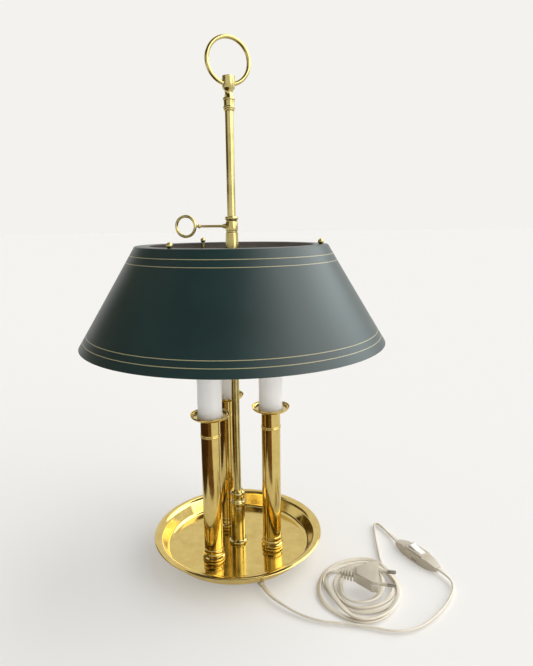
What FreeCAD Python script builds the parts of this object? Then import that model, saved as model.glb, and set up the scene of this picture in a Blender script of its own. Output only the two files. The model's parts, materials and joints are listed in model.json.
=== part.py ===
"""A bouillotte lamp: a brass dish on a weighted foot, three candle lights round a pole,
and a painted metal shade on a carriage that slides up and down the pole.

Millimetres, +Z up, the origin on the lamp's axis at the table. Every size is a cell of the
sheet named Sizes, and the sketches and placements are bound to those cells.
"""

import FreeCAD
import Part

import math
import os

import Sketcher

SIZES = {
    # the foot under the dish
    "felt_thick": 2.0,
    "foot_radius": 64.0,
    "foot_high": 9.3,
    "foot_roof": 3.0,
    "foot_wall": 9.0,
    "felt_inset": 1.5,
    # the dish, spun from sheet
    "sheet": 1.2,
    "dish_radius": 100.0,
    "dish_floor_radius": 80.5,
    "dish_corner": 6.5,
    "dish_high": 17.0,
    "dish_lip": 8.4,
    # the pole and its socket
    "pole_radius": 4.64,
    "pole_long": 501.5,
    "stud_radius": 4.0,
    "socket_high": 67.5,
    "socket_radius": 8.45,
    "slide_gap": 0.06,
    # the finial and its carrying ring
    "finial_radius": 5.75,
    "drum_radius": 6.75,
    "drum_high": 12.5,
    "finial_neck_high": 23.2,
    "ring_radius": 26.0,
    "ring_wire": 4.6,
    "ring_turn": 21.0,
    # the three candle lights
    "candle_inset": 22.3,
    "first_candle": 106.4,
    "tube_radius": 11.0,
    "tube_wall": 1.0,
    "tube_high": 170.0,
    "pan_radius": 22.2,
    "pan_rise": 4.2,
    "pan_sheet": 0.8,
    "sleeve_radius": 13.5,
    "sleeve_wall": 1.0,
    "sleeve_high": 80.0,
    "sleeve_flare": 0.8,
    "rod_radius": 5.0,
    "rod_bore": 3.4,
    "holder_radius": 11.6,
    "holder_high": 70.0,
    "cap_radius": 6.9,
    "cap_long": 22.0,
    "bulb_radius": 17.5,
    "bulb_long": 76.0,
    # the shade
    "shade_base": 265.7,
    "shade_high": 106.8,
    "shade_top_radius": 106.2,
    "shade_base_radius": 169.8,
    "shade_sheet": 0.9,
    "shade_ring": 15.2,
    "shade_edge": 1.6,
    # the spider, its studs and ball nuts
    "stud_inset": 7.8,
    "first_stud": 112.0,
    "arm_drop": 14.0,
    "arm_thick": 2.6,
    "arm_width": 9.0,
    "hub_radius": 13.0,
    "post_radius": 2.6,
    "ball_radius": 3.3,
    # the carriage
    "collar_top": 403.4,
    "collar_radius": 6.9,
    "sleeve_groove": 17.0,
    "skirt_radius": 7.65,
    "neck_radius": 6.3,
    "neck_long": 11.0,
    "hub_nut_radius": 10.0,
    "hub_nut_high": 5.0,
    "seat_gap": 0.3,
    "turn_gap": 0.05,
    # the thumb screw
    "key_below_top": 10.4,
    "key_radius": 1.45,
    "key_ring_radius": 12.65,
    "key_wire": 3.2,
    "key_reach": 50.5,
    "key_turn": -19.0,
    # nuts under the dish
    "nut_across": 14.0,
    "nut_high": 3.2,
    "washer_radius": 11.0,
    "washer_thick": 1.0,
    # the flex and what is on it
    "flex": 5.4,
    "relief_long": 16.0,
    "relief_radius": 4.3,
    "exit_height": 5.2,
    "relief_throat": 2.6,
    "relief_flange": 3.05,
    "relief_inside": 3.0,
    "switch_long": 64.0,
    "switch_width": 16.0,
    "switch_end": 7.6,
    "switch_half": 6.5,
    "switch_lid": 4.5,
    "switch_block": 1.8,
    "switch_block_long": 27.0,
    "switch_wall": 1.7,
    "rocker_long": 20.0,
    "rocker_width": 8.0,
    "rocker_gap": 0.6,
    "plug_width": 35.3,
    "plug_thick": 13.7,
    "plug_long": 26.5,
    "plug_tail": 13.5,
    "plug_waist": 12.0,
    "plug_face": 2.2,
    "plug_edge": 2.6,
    "rib_wide": 1.9,
    "rib_pitch": 3.3,
    "rib_core": 2.8,
    "rib_slim": 0.8,
    "pin_radius": 2.0,
    "pin_sleeve_radius": 1.75,
    "pin_long": 19.0,
    "pin_spacing": 18.6,
    "coil_radius": 49.0,
    "coil_hole": 19.5,
    "coil_high": 9.0,
}
LIGHTS = 3
TURN = 360.0
FIT = 0.1          # a face that seats on another in the same piece of work
CORD_AZIMUTH = -72.0
COIL_PLACE = (127.5, -87.0)
SWITCH_PLACE = (211.2, -36.4)
SWITCH_AZIMUTH = -62.4
ROCKER_TILT = 10.0
PLUG_PLACE = (123.8, -85.0)
PLUG_AZIMUTH = -15.0
PLUG_LEAN = 9.0
RIBS = 4
SHADE_SLANT = 1.164

# Routes of the flex, from the foot to the switch and from the switch to the coil.
LEAD_IN = [
    (24.7, -76.1, 5.2),
    (30.0, -91.0, 4.8),
    (43.5, -108.0, 3.6),
    (60.0, -122.5, 2.9),
    (80.0, -134.0, 2.8),
    (104.0, -138.6, 2.8),
    (130.0, -145.8, 2.8),
    (151.5, -154.0, 2.8),
    (175.0, -151.0, 2.8),
    (199.0, -134.5, 2.8),
    (219.5, -114.0, 2.8),
    (233.5, -93.0, 3.2),
    (232.5, -76.5, 5.0),
    (226.0, -64.8, 6.0),
]
LEAD_OUT = [
    (196.4, -8.0, 6.0),
    (191.8, 5.0, 4.6),
    (188.8, 19.0, 3.2),
    (187.0, 31.5, 2.8),
    (181.8, 35.4, 2.8),
    (175.3, 34.9, 2.8),
    (170.8, 30.2, 2.8),
    (170.4, 18.5, 2.8),
    (169.2, -2.0, 2.8),
    (166.6, -27.0, 3.0),
    (162.0, -52.0, 3.4),
]

document = FreeCAD.newDocument("bouillotte_lamp")
sheet = document.addObject("Spreadsheet::Sheet", "Sizes")
for row, (alias, number) in enumerate(SIZES.items(), start=1):
    sheet.set(f"A{row}", alias)
    sheet.set(f"B{row}", str(number))
    sheet.setAlias(f"B{row}", alias)
document.recompute()


class Length:
    """A number together with the sheet formula that gives it."""

    def __init__(self, number, formula):
        self.number = float(number)
        self.formula = formula

    def join(self, other, sign, turned=False):
        """This length and another, or a bare number, joined by + - * or /."""
        other = other if isinstance(other, Length) else Length(other, f"({float(other)!r})")
        first, second = (other, self) if turned else (self, other)
        numbers = {
            "+": first.number + second.number,
            "-": first.number - second.number,
            "*": first.number * second.number,
            "/": first.number / second.number if second.number else 0.0,
        }
        return Length(numbers[sign], f"({first.formula} {sign} {second.formula})")

    def __add__(self, other):
        return self.join(other, "+")

    def __radd__(self, other):
        return self.join(other, "+", True)

    def __sub__(self, other):
        return self.join(other, "-")

    def __rsub__(self, other):
        return self.join(other, "-", True)

    def __mul__(self, other):
        return self.join(other, "*")

    def __rmul__(self, other):
        return self.join(other, "*", True)

    def __truediv__(self, other):
        return self.join(other, "/")

    def __neg__(self):
        return self.join(-1.0, "*")


def size(alias):
    """The length that a cell of the sheet holds."""
    return Length(sheet.get(alias), f"Sizes.{alias}")


def as_length(value):
    return value if isinstance(value, Length) else Length(value, f"{float(value)!r}")


nodes = []
bodies = {}


def keep(piece):
    """Marks a piece as a sub-part that gets a file of its own."""
    nodes.append(piece)
    return piece


def lay(piece, x, y, z, direction, spin=0.0):
    """Puts a piece at x, y and z with its own Z axis along a direction, spun about it."""
    along = FreeCAD.Rotation(FreeCAD.Vector(0, 0, 1), FreeCAD.Vector(*direction))
    own = FreeCAD.Rotation(FreeCAD.Vector(0, 0, 1), float(spin))
    lengths = [as_length(v) for v in (x, y, z)]
    piece.Placement = FreeCAD.Placement(
        FreeCAD.Vector(*[v.number for v in lengths]), along.multiply(own)
    )
    for axis, value in zip("xyz", (x, y, z)):
        if isinstance(value, Length):
            piece.setExpression(f"Placement.Base.{axis}", value.formula)
    return piece


def place(piece, x=0.0, y=0.0, z=0.0, turn=0.0):
    """Puts a piece at lengths x, y and z, turned about +Z by a number of degrees."""
    piece.Placement = FreeCAD.Placement(
        FreeCAD.Vector(as_length(x).number, as_length(y).number, as_length(z).number),
        FreeCAD.Rotation(FreeCAD.Vector(0, 0, 1), float(turn)),
    )
    for axis, value in (("x", x), ("y", y), ("z", z)):
        if isinstance(value, Length):
            piece.setExpression(f"Placement.Base.{axis}", value.formula)
    return piece


def new_body(name):
    body = document.addObject("PartDesign::Body", name)
    body.Label = name
    return body


def plane_of(body, role):
    return next(f for f in body.Origin.OriginFeatures if f.Role == role)


def new_sketch(body, name, role="XZ_Plane", offset=None):
    """A sketch on one of the body's own planes, moved along the plane's normal by a length."""
    sketch = body.newObject("Sketcher::SketchObject", name)
    sketch.AttachmentSupport = [(plane_of(body, role), "")]
    sketch.MapMode = "FlatFace"
    if offset is not None:
        offset = as_length(offset)
        sketch.AttachmentOffset = FreeCAD.Placement(
            FreeCAD.Vector(0, 0, offset.number), FreeCAD.Rotation()
        )
        sketch.setExpression("AttachmentOffset.Base.z", offset.formula)
    return sketch


def pin_point(sketch, edge, end, x, y):
    """Holds one end of an edge at lengths x and y from the sketch's origin."""
    for kind, value in (("DistanceX", x), ("DistanceY", y)):
        value = as_length(value)
        index = sketch.addConstraint(Sketcher.Constraint(kind, edge, end, value.number))
        if not value.formula.replace(".", "").replace("-", "").isdigit():
            sketch.setExpression(f"Constraints[{index}]", value.formula)


def bow_centre(start, stop, centre_x):
    """The centre of the arc from start to stop whose centre has the given x."""
    (ax, ay), (bx, by) = start, stop
    lift = bx * bx - ax * ax + by * by - ay * ay - 2 * centre_x * (bx - ax)
    return centre_x, lift / (2 * (by - ay))


def outline(sketch, corners):
    """Draws a closed outline. A corner is (x, y) for a straight edge that arrives there, or
    (x, y, centre_x, turn) for an arc that arrives there, its centre at centre_x, and turn +1
    where it runs anticlockwise or -1 where it runs clockwise."""
    points = [(as_length(c[0]), as_length(c[1])) for c in corners]
    arrivals = []
    for index, corner in enumerate(corners):
        start = points[index - 1]
        stop = points[index]
        a = FreeCAD.Vector(start[0].number, start[1].number, 0)
        b = FreeCAD.Vector(stop[0].number, stop[1].number, 0)
        if len(corner) == 2:
            edge = sketch.addGeometry(Part.LineSegment(a, b), False)
            arrivals.append((edge, 1, 2))
            continue
        centre_x = as_length(corner[2])
        cx, cy = bow_centre((a.x, a.y), (b.x, b.y), centre_x.number)
        centre = FreeCAD.Vector(cx, cy, 0)
        first, last = (a, b) if corner[3] > 0 else (b, a)
        circle = Part.Circle(centre, FreeCAD.Vector(0, 0, 1), (a - centre).Length)
        low = math.atan2(first.y - cy, first.x - cx)
        high = math.atan2(last.y - cy, last.x - cx)
        if high <= low:
            high += 2 * math.pi
        edge = sketch.addGeometry(Part.ArcOfCircle(circle, low, high), False)
        arrivals.append((edge, 1, 2) if corner[3] > 0 else (edge, 2, 1))
        index_of = sketch.addConstraint(Sketcher.Constraint("DistanceX", edge, 3, cx))
        if isinstance(corner[2], Length):
            sketch.setExpression(f"Constraints[{index_of}]", corner[2].formula)
    for index, (edge, begin, finish) in enumerate(arrivals):
        before = arrivals[index - 1]
        sketch.addConstraint(Sketcher.Constraint("Coincident", before[0], before[2], edge, begin))
        pin_point(sketch, edge, finish, corners[index][0], corners[index][1])
    return sketch


def turned(name, corners):
    """A piece turned on a lathe: the outline (radius, height) goes once round the Z axis."""
    body = new_body(name)
    sketch = outline(new_sketch(body, f"{name}_profile"), corners)
    solid = body.newObject("PartDesign::Revolution", f"{name}_turned")
    solid.Profile = sketch
    solid.ReferenceAxis = (sketch, ["V_Axis"])
    solid.Angle = TURN
    sketch.Visibility = False
    body.Tip = solid
    return body


def circle_at(sketch, x, y, radius):
    """A circle in a sketch, held by its centre and its radius."""
    x, y, radius = as_length(x), as_length(y), as_length(radius)
    edge = sketch.addGeometry(
        Part.Circle(FreeCAD.Vector(x.number, y.number, 0), FreeCAD.Vector(0, 0, 1), radius.number),
        False,
    )
    pin_point(sketch, edge, 3, x, y)
    index = sketch.addConstraint(Sketcher.Constraint("Radius", edge, radius.number))
    sketch.setExpression(f"Constraints[{index}]", radius.formula)
    return edge


def pad(body, sketch, height, name, both=False):
    feature = body.newObject("PartDesign::Pad", name)
    feature.Profile = sketch
    height = as_length(height)
    feature.Length = height.number
    feature.setExpression("Length", height.formula)
    feature.Midplane = both
    sketch.Visibility = False
    body.Tip = feature
    return feature


def pocket(body, sketch, depth, name, up=True, both=False):
    """Cuts a sketch out of the body, upwards along the sketch's normal or downwards."""
    document.recompute()
    before = body.Shape.Volume
    feature = body.newObject("PartDesign::Pocket", name)
    feature.Profile = sketch
    depth = as_length(depth)
    feature.Length = depth.number
    feature.setExpression("Length", depth.formula)
    feature.Midplane = both
    feature.Reversed = up
    sketch.Visibility = False
    body.Tip = feature
    document.recompute()
    if body.Shape.Volume >= before:
        raise RuntimeError(f"{name} cuts nothing")
    return feature


def around(body, feature, count, name):
    """Repeats a feature round the Z axis."""
    pattern = body.newObject("PartDesign::PolarPattern", name)
    pattern.Originals = [feature]
    pattern.Axis = (plane_of(body, "Z_Axis"), [""])
    pattern.Angle = TURN
    pattern.Occurrences = count
    body.Tip = pattern
    return pattern


def group(name, pieces):
    """Several separate solids that share one node."""
    joined = document.addObject("Part::Compound", name)
    joined.Label = name
    joined.Links = pieces
    return keep(joined)


def round_place(radius, degrees):
    """Lengths x and y of a point on a circle round the lamp's axis."""
    angle = math.radians(degrees)
    return radius * math.cos(angle), radius * math.sin(angle)


candle_circle = size("foot_radius") - size("candle_inset")
stud_circle = size("shade_top_radius") - size("stud_inset")
felt_top = size("felt_thick")
dish_under = felt_top + size("foot_high")
dish_floor = dish_under + size("sheet")
candle_azimuths = [SIZES["first_candle"] + TURN / LIGHTS * i for i in range(LIGHTS)]
stud_azimuths = [SIZES["first_stud"] + TURN / LIGHTS * i for i in range(LIGHTS)]


def make_foot():
    """The felt, the iron weight with its wiring hollow, and the relief that the flex leaves by."""
    radius = size("foot_radius")
    high = size("foot_high")
    edge = radius - size("felt_inset")
    keep(turned("base_felt", [(0, 0), (edge, 0), (edge, felt_top), (0, felt_top)]))
    inner = radius - size("foot_wall")
    hole = size("stud_radius") + FIT
    weight = turned(
        "base_weight",
        [
            (hole, high - size("foot_roof")),
            (inner, high - size("foot_roof")),
            (inner, 0),
            (radius - 1.5, 0),
            (radius, 1.5),
            (radius, high - 1.5),
            (radius - 1.5, high),
            (hole, high),
        ],
    )
    holes = new_sketch(weight, "base_weight_holes", "XY_Plane", high)
    for degrees in candle_azimuths:
        x, y = round_place(candle_circle, degrees - CORD_AZIMUTH)
        circle_at(holes, x, y, size("rod_radius") + FIT)
    pocket(weight, holes, size("foot_roof") * 2, "base_weight_drilled", up=False)
    throat = size("relief_throat")
    outlet = new_sketch(weight, "base_weight_outlet", "YZ_Plane", radius + 2)
    circle_at(outlet, 0, size("exit_height") - felt_top, throat + 0.05)
    pocket(weight, outlet, size("foot_wall") + 6, "base_weight_outlet_cut", up=False)
    place(keep(weight), z=felt_top, turn=CORD_AZIMUTH)
    inside = size("relief_inside")
    shoulder = inside + size("foot_wall") + FIT
    relief = turned(
        "cord_relief",
        [
            (0, 0),
            (size("relief_flange"), 0),
            (size("relief_flange"), inside - 2 * FIT),
            (throat, inside - 2 * FIT),
            (throat, shoulder),
            (size("relief_radius"), shoulder),
            (size("relief_radius"), shoulder + 2.2),
            (size("flex") / 2 + 0.5, shoulder + size("relief_long") - FIT),
            (0, shoulder + size("relief_long") - FIT),
        ],
    )
    x, y = round_place(inner - inside, CORD_AZIMUTH)
    way = math.radians(CORD_AZIMUTH)
    lay(keep(relief), x, y, size("exit_height"), (math.cos(way), math.sin(way), 0))


# The wall of the dish leans out at this angle, which its corner and its lip run into.
DISH_WALL_SIN = 0.906
DISH_WALL_COS = 0.423
LIP_IN = 2.72
LIP_END = (0.52, 1.08)
LIP_START = (1.09, 0.51)


def make_dish():
    """The spun brass dish: flat floor, leaning wall and a lip that rolls over."""
    hole = size("stud_radius") + FIT
    floor = size("dish_floor_radius")
    corner = size("dish_corner")
    thick = size("sheet")
    rim = size("dish_radius") - LIP_END[0]
    high = size("dish_high")
    foot_of_lip = (rim - size("dish_lip"), high - 3)
    bend = rim - LIP_IN
    dish = turned(
        "dish",
        [
            (hole, 0),
            (floor, 0),
            (floor + corner * DISH_WALL_SIN, corner - corner * DISH_WALL_COS, floor, 1),
            foot_of_lip,
            (rim, high, bend, -1),
            (rim + LIP_END[0], high + LIP_END[1]),
            (foot_of_lip[0] - LIP_START[0], foot_of_lip[1] + LIP_START[1], bend, 1),
            (
                floor + (corner - thick) * DISH_WALL_SIN,
                corner - (corner - thick) * DISH_WALL_COS,
            ),
            (floor, thick, floor, -1),
            (hole, thick),
        ],
    )
    holes = new_sketch(dish, "dish_holes", "XY_Plane", thick)
    for degrees in candle_azimuths:
        x, y = round_place(candle_circle, degrees)
        circle_at(holes, x, y, size("rod_radius") + FIT)
    pocket(dish, holes, thick * 2, "dish_drilled", up=False)
    place(keep(dish), z=dish_under)


def make_pole():
    """The pole with its studs, the turned socket that it stands in, and its nut and washer."""
    stud = size("stud_radius")
    radius = size("pole_radius")
    bottom = dish_under - size("foot_roof") - size("washer_thick") - size("nut_high") - 0.4
    top = dish_floor + size("pole_long")
    keep(
        turned(
            "pole",
            [
                (0, bottom),
                (stud, bottom),
                (stud, dish_floor),
                (radius, dish_floor),
                (radius, top),
                (finial_stud, top),
                (finial_stud, top + finial_stud_long),
                (0, top + finial_stud_long),
            ],
        )
    )
    bore = radius + 0.05
    body = size("socket_radius")
    high = size("socket_high")
    socket = turned(
        "column_socket",
        [
            (bore, 0),
            (body + 2.2, 0),
            (body + 2.2, 3.0, body + 1.2, 1),
            (body, 4.2),
            (body, high - 18.8),
            (body - 0.3, high - 18.2),
            (body - 0.3, high - 13.8, body - 1.8, 1),
            (body - 1.2, high - 11.6),
            (body - 1.2, high - 8.4, body + 1.6, -1),
            (body - 0.6, high - 6.0),
            (body - 0.6, high - 1.6, body - 2.2, 1),
            (body - 1.6, high),
            (bore, high),
        ],
    )
    place(keep(socket), z=dish_floor)
    washer = turned(
        "pole_washer",
        [
            (stud + FIT, 0),
            (size("washer_radius"), 0),
            (size("washer_radius"), size("washer_thick")),
            (stud + FIT, size("washer_thick")),
        ],
    )
    roof = dish_under - size("foot_roof")
    place(keep(washer), z=roof - size("washer_thick"))
    nut = hex_nut("pole_nut", size("nut_across"), size("nut_high"), stud + FIT)
    place(keep(nut), z=roof - size("washer_thick") - size("nut_high"))


def hex_nut(name, across, high, bore):
    """A six-sided nut with its hole."""
    body = new_body(name)
    sketch = new_sketch(body, f"{name}_flats", "XY_Plane")
    half = across / 2
    long = across / math.sqrt(3)
    outline(
        sketch,
        [
            (long, 0),
            (long / 2, half),
            (-long / 2, half),
            (-long, 0),
            (-long / 2, -half),
            (long / 2, -half),
        ],
    )
    circle_at(sketch, 0, 0, bore)
    pad(body, sketch, high, f"{name}_block")
    return body


def make_finial():
    """The turned fitting on top of the pole and the carrying ring through its drum."""
    radius = size("finial_radius")
    drum = size("drum_radius")
    low = size("finial_neck_high")
    high = low + size("drum_high")
    fitting = turned(
        "finial_turned",
        [
            (0, finial_stud_long + FIT),
            (finial_stud + 0.05, finial_stud_long + FIT),
            (finial_stud + 0.05, 0),
            (radius - 0.5, 0),
            (radius, 2.2),
            (radius, 4.8, radius - 0.9, 1),
            (radius, 10.8, radius + 12, -1),
            (radius, 13.8, radius - 1.0, 1),
            (radius - 1.6, 16.0),
            (radius - 1.6, low - 3.2, radius + 1.2, -1),
            (drum - 0.6, low - 1.0),
            (drum, low),
            (drum, high - 0.5),
            (drum - 0.5, high),
            (0, high),
        ],
    )
    wire = size("ring_wire")
    reach = size("ring_radius") - wire / 2
    rings = []
    for name, spare in (("finial_ring", 0.0), ("finial_ring_way", 0.05)):
        ring = document.addObject("Part::Torus", name)
        ring.Label = name
        ring.setExpression("Radius1", reach.formula)
        ring.setExpression("Radius2", (wire / 2 + spare).formula)
        rings.append(ring)
        way = math.radians(SIZES["ring_turn"] - 90)
        lay(ring, 0, 0, finial_foot + low + 4.0 + reach, (math.cos(way), math.sin(way), 0))
    keep(rings[0])
    place(fitting, z=finial_foot)
    finial = document.addObject("Part::Cut", "finial")
    finial.Label = "finial"
    finial.Base = fitting
    finial.Tool = rings[1]
    keep(finial)


def make_lights():
    """Three electric candles: tube, pan, sleeve, lampholder, bulb and threaded rod."""
    radius = size("tube_radius")
    bore = radius - size("tube_wall")
    high = size("tube_high")
    pan_sheet = size("pan_sheet")
    rod = size("rod_radius")
    roof = dish_under - size("foot_roof")
    rod_foot = roof - size("washer_thick") - size("nut_high") - 0.2
    pan_floor = dish_floor + high + pan_sheet
    rods_reach = pan_floor + 6 - rod_foot
    washers = []
    nuts = []
    for number, degrees in enumerate(candle_azimuths, start=1):
        x, y = round_place(candle_circle, degrees)
        tube = turned(
            f"candle_tube_{number}",
            [
                (bore, 0),
                (radius + 1.6, 0),
                (radius + 1.6, 3.2, radius + 0.4, 1),
                (radius + 0.2, 4.4),
                (radius + 0.2, 5.6),
                (radius + 0.7, 6.0),
                (radius + 0.7, 8.0, radius + 0.1, 1),
                (radius, 9.0),
                (radius, 11.6),
                (radius, 13.6, radius - 0.6, 1),
                (radius, high - 22.0),
                (radius, high - 20.2, radius - 0.5, 1),
                (radius, high - 18.4, radius - 0.5, 1),
                (radius, high),
                (bore, high),
            ],
        )
        place(keep(tube), x, y, dish_floor)
        rim = size("pan_radius")
        pan = turned(
            f"candle_pan_{number}",
            [
                (rod + 0.05, 0),
                (radius + 2, 0),
                (rim - 4.2, 0.9, radius + 2, 1),
                (rim, size("pan_rise"), rim - 5.2, 1),
                (rim - pan_sheet, size("pan_rise") + 0.3),
                (rim - 4.6, 0.9 + pan_sheet, rim - 5.2, -1),
                (radius + 2, pan_sheet, radius + 2, -1),
                (rod + 0.05, pan_sheet),
            ],
        )
        place(keep(pan), x, y, dish_floor + high)
        outer = size("sleeve_radius")
        wall = size("sleeve_wall")
        flare = size("sleeve_flare")
        sleeve = turned(
            f"candle_sleeve_{number}",
            [
                (outer - wall, 0),
                (outer + flare, 0),
                (outer + flare, 1.5),
                (outer, 9.0, outer + 34, -1),
                (outer, size("sleeve_high") - 1.2),
                (outer - 0.5, size("sleeve_high")),
                (outer - wall, size("sleeve_high")),
            ],
        )
        place(keep(sleeve), x, y, pan_floor + FIT)
        holder_radius = size("holder_radius")
        holder_high = size("holder_high")
        well = holder_high - size("cap_long")
        holder = turned(
            f"lampholder_{number}",
            [
                (rod + 0.05, 0),
                (holder_radius - 2.4, 0),
                (holder_radius - 2.4, 5),
                (holder_radius, 8),
                (holder_radius, holder_high),
                (size("cap_radius") + 0.5, holder_high),
                (size("cap_radius") + 0.5, well),
                (0, well),
                (0, 6.4),
                (rod + 0.05, 6.4),
            ],
        )
        place(keep(holder), x, y, pan_floor + FIT)
        cap = size("cap_radius")
        cap_long = size("cap_long")
        glass = size("bulb_radius")
        long = size("bulb_long")
        bulb = turned(
            f"bulb_{number}",
            [
                (0, 0),
                (3.0, 0),
                (cap, 3.5),
                (cap, cap_long),
                (8.6, cap_long + 1.5),
                (8.6, cap_long + 6),
                (glass, cap_long + 30, glass - 40, 1),
                (9.0, cap_long + 58, glass - 38, 1),
                (2.4, cap_long + long - 2.0),
                (0, cap_long + long, 0, 1),
            ],
        )
        place(keep(bulb), x, y, pan_floor + FIT + well + 0.3)
        pipe = turned(
            f"candle_rod_{number}",
            [
                (size("rod_bore"), 0),
                (rod, 0),
                (rod, rods_reach),
                (size("rod_bore"), rods_reach),
            ],
        )
        place(keep(pipe), x, y, rod_foot)
        nut = hex_nut(f"candle_nut_{number}", size("nut_across"), size("nut_high"), rod + FIT)
        nuts.append(place(nut, x, y, roof - size("washer_thick") - size("nut_high"), degrees))
        washer = turned(
            f"candle_washer_{number}",
            [
                (rod + FIT, 0),
                (size("washer_radius") - 1.5, 0),
                (size("washer_radius") - 1.5, size("washer_thick")),
                (rod + FIT, size("washer_thick")),
            ],
        )
        washers.append(place(washer, x, y, roof - size("washer_thick")))
    group("candle_nuts", nuts)
    group("candle_washers", washers)


def make_shade():
    """The tapered shade with its flat top ring, and the studs and ball nuts that hold it."""
    top = size("shade_high")
    top_radius = size("shade_top_radius")
    base_radius = size("shade_base_radius")
    thick = size("shade_sheet")
    edge = size("shade_edge")
    across = thick * SHADE_SLANT
    mouth = top_radius - size("shade_ring")
    shade = turned(
        "shade",
        [
            (base_radius, 0),
            (top_radius + 0.9, top - edge),
            (top_radius - edge, top, top_radius - edge, 1),
            (mouth, top),
            (mouth, top - thick),
            (top_radius - edge - 0.6, top - thick),
            (base_radius - across, 0),
        ],
    )
    holes = new_sketch(shade, "shade_holes", "XY_Plane", top)
    for degrees in stud_azimuths:
        x, y = round_place(stud_circle, degrees)
        circle_at(holes, x, y, thread + FIT)
    pocket(shade, holes, thick * 2, "shade_drilled", up=False)
    place(keep(shade), z=size("shade_base"))
    posts = []
    balls = []
    shoulder = size("arm_drop") - thick
    lift = size("ball_radius") * 0.86
    for number, degrees in enumerate(stud_azimuths, start=1):
        x, y = round_place(stud_circle, degrees)
        post = turned(
            f"shade_post_{number}",
            [
                (0, -size("arm_thick") - 1.6),
                (thread, -size("arm_thick") - 1.6),
                (thread, 0),
                (size("post_radius"), 0),
                (size("post_radius"), shoulder),
                (thread, shoulder),
                (thread, shoulder + thick + 3.2),
                (0, shoulder + thick + 3.2),
            ],
        )
        posts.append(place(post, x, y, arm_top))
        ball = turned(
            f"ball_nut_{number}",
            [
                (thread + 0.05, 0),
                (size("ball_radius") * 0.51, 0),
                (0, lift + size("ball_radius"), 0, 1),
                (0, 3.6),
                (thread + 0.05, 3.6),
            ],
        )
        balls.append(place(ball, x, y, shade_top))
    group("shade_posts", posts)
    group("ball_nuts", balls)


def make_spider():
    """The hub and three arms under the shade's top ring."""
    spider = new_body("shade_spider")
    thick = size("arm_thick")
    bore = size("neck_radius") + size("turn_gap")
    hub = new_sketch(spider, "spider_hub", "XY_Plane")
    circle_at(hub, 0, 0, size("hub_radius"))
    pad(spider, hub, thick, "spider_hub_disc")
    arms = new_sketch(spider, "spider_arm", "XY_Plane")
    half = size("arm_width") / 2
    reach = stud_circle
    outline(arms, [(bore + 1, -half), (reach, -half), (reach, half), (bore + 1, half)])
    arm = pad(spider, arms, thick, "spider_arm_bar")
    around(spider, arm, LIGHTS, "spider_arms")
    eyes = new_sketch(spider, "spider_eye", "XY_Plane")
    circle_at(eyes, reach, 0, half)
    eye = pad(spider, eyes, thick, "spider_eye_disc")
    around(spider, eye, LIGHTS, "spider_eyes")
    holes = new_sketch(spider, "spider_holes", "XY_Plane", thick)
    circle_at(holes, 0, 0, bore)
    for index in range(LIGHTS):
        x, y = round_place(reach, TURN / LIGHTS * index)
        circle_at(holes, x, y, thread + FIT)
    pocket(spider, holes, thick, "spider_drilled", up=False)
    place(keep(spider), z=arm_top - thick, turn=SIZES["first_stud"])


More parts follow.
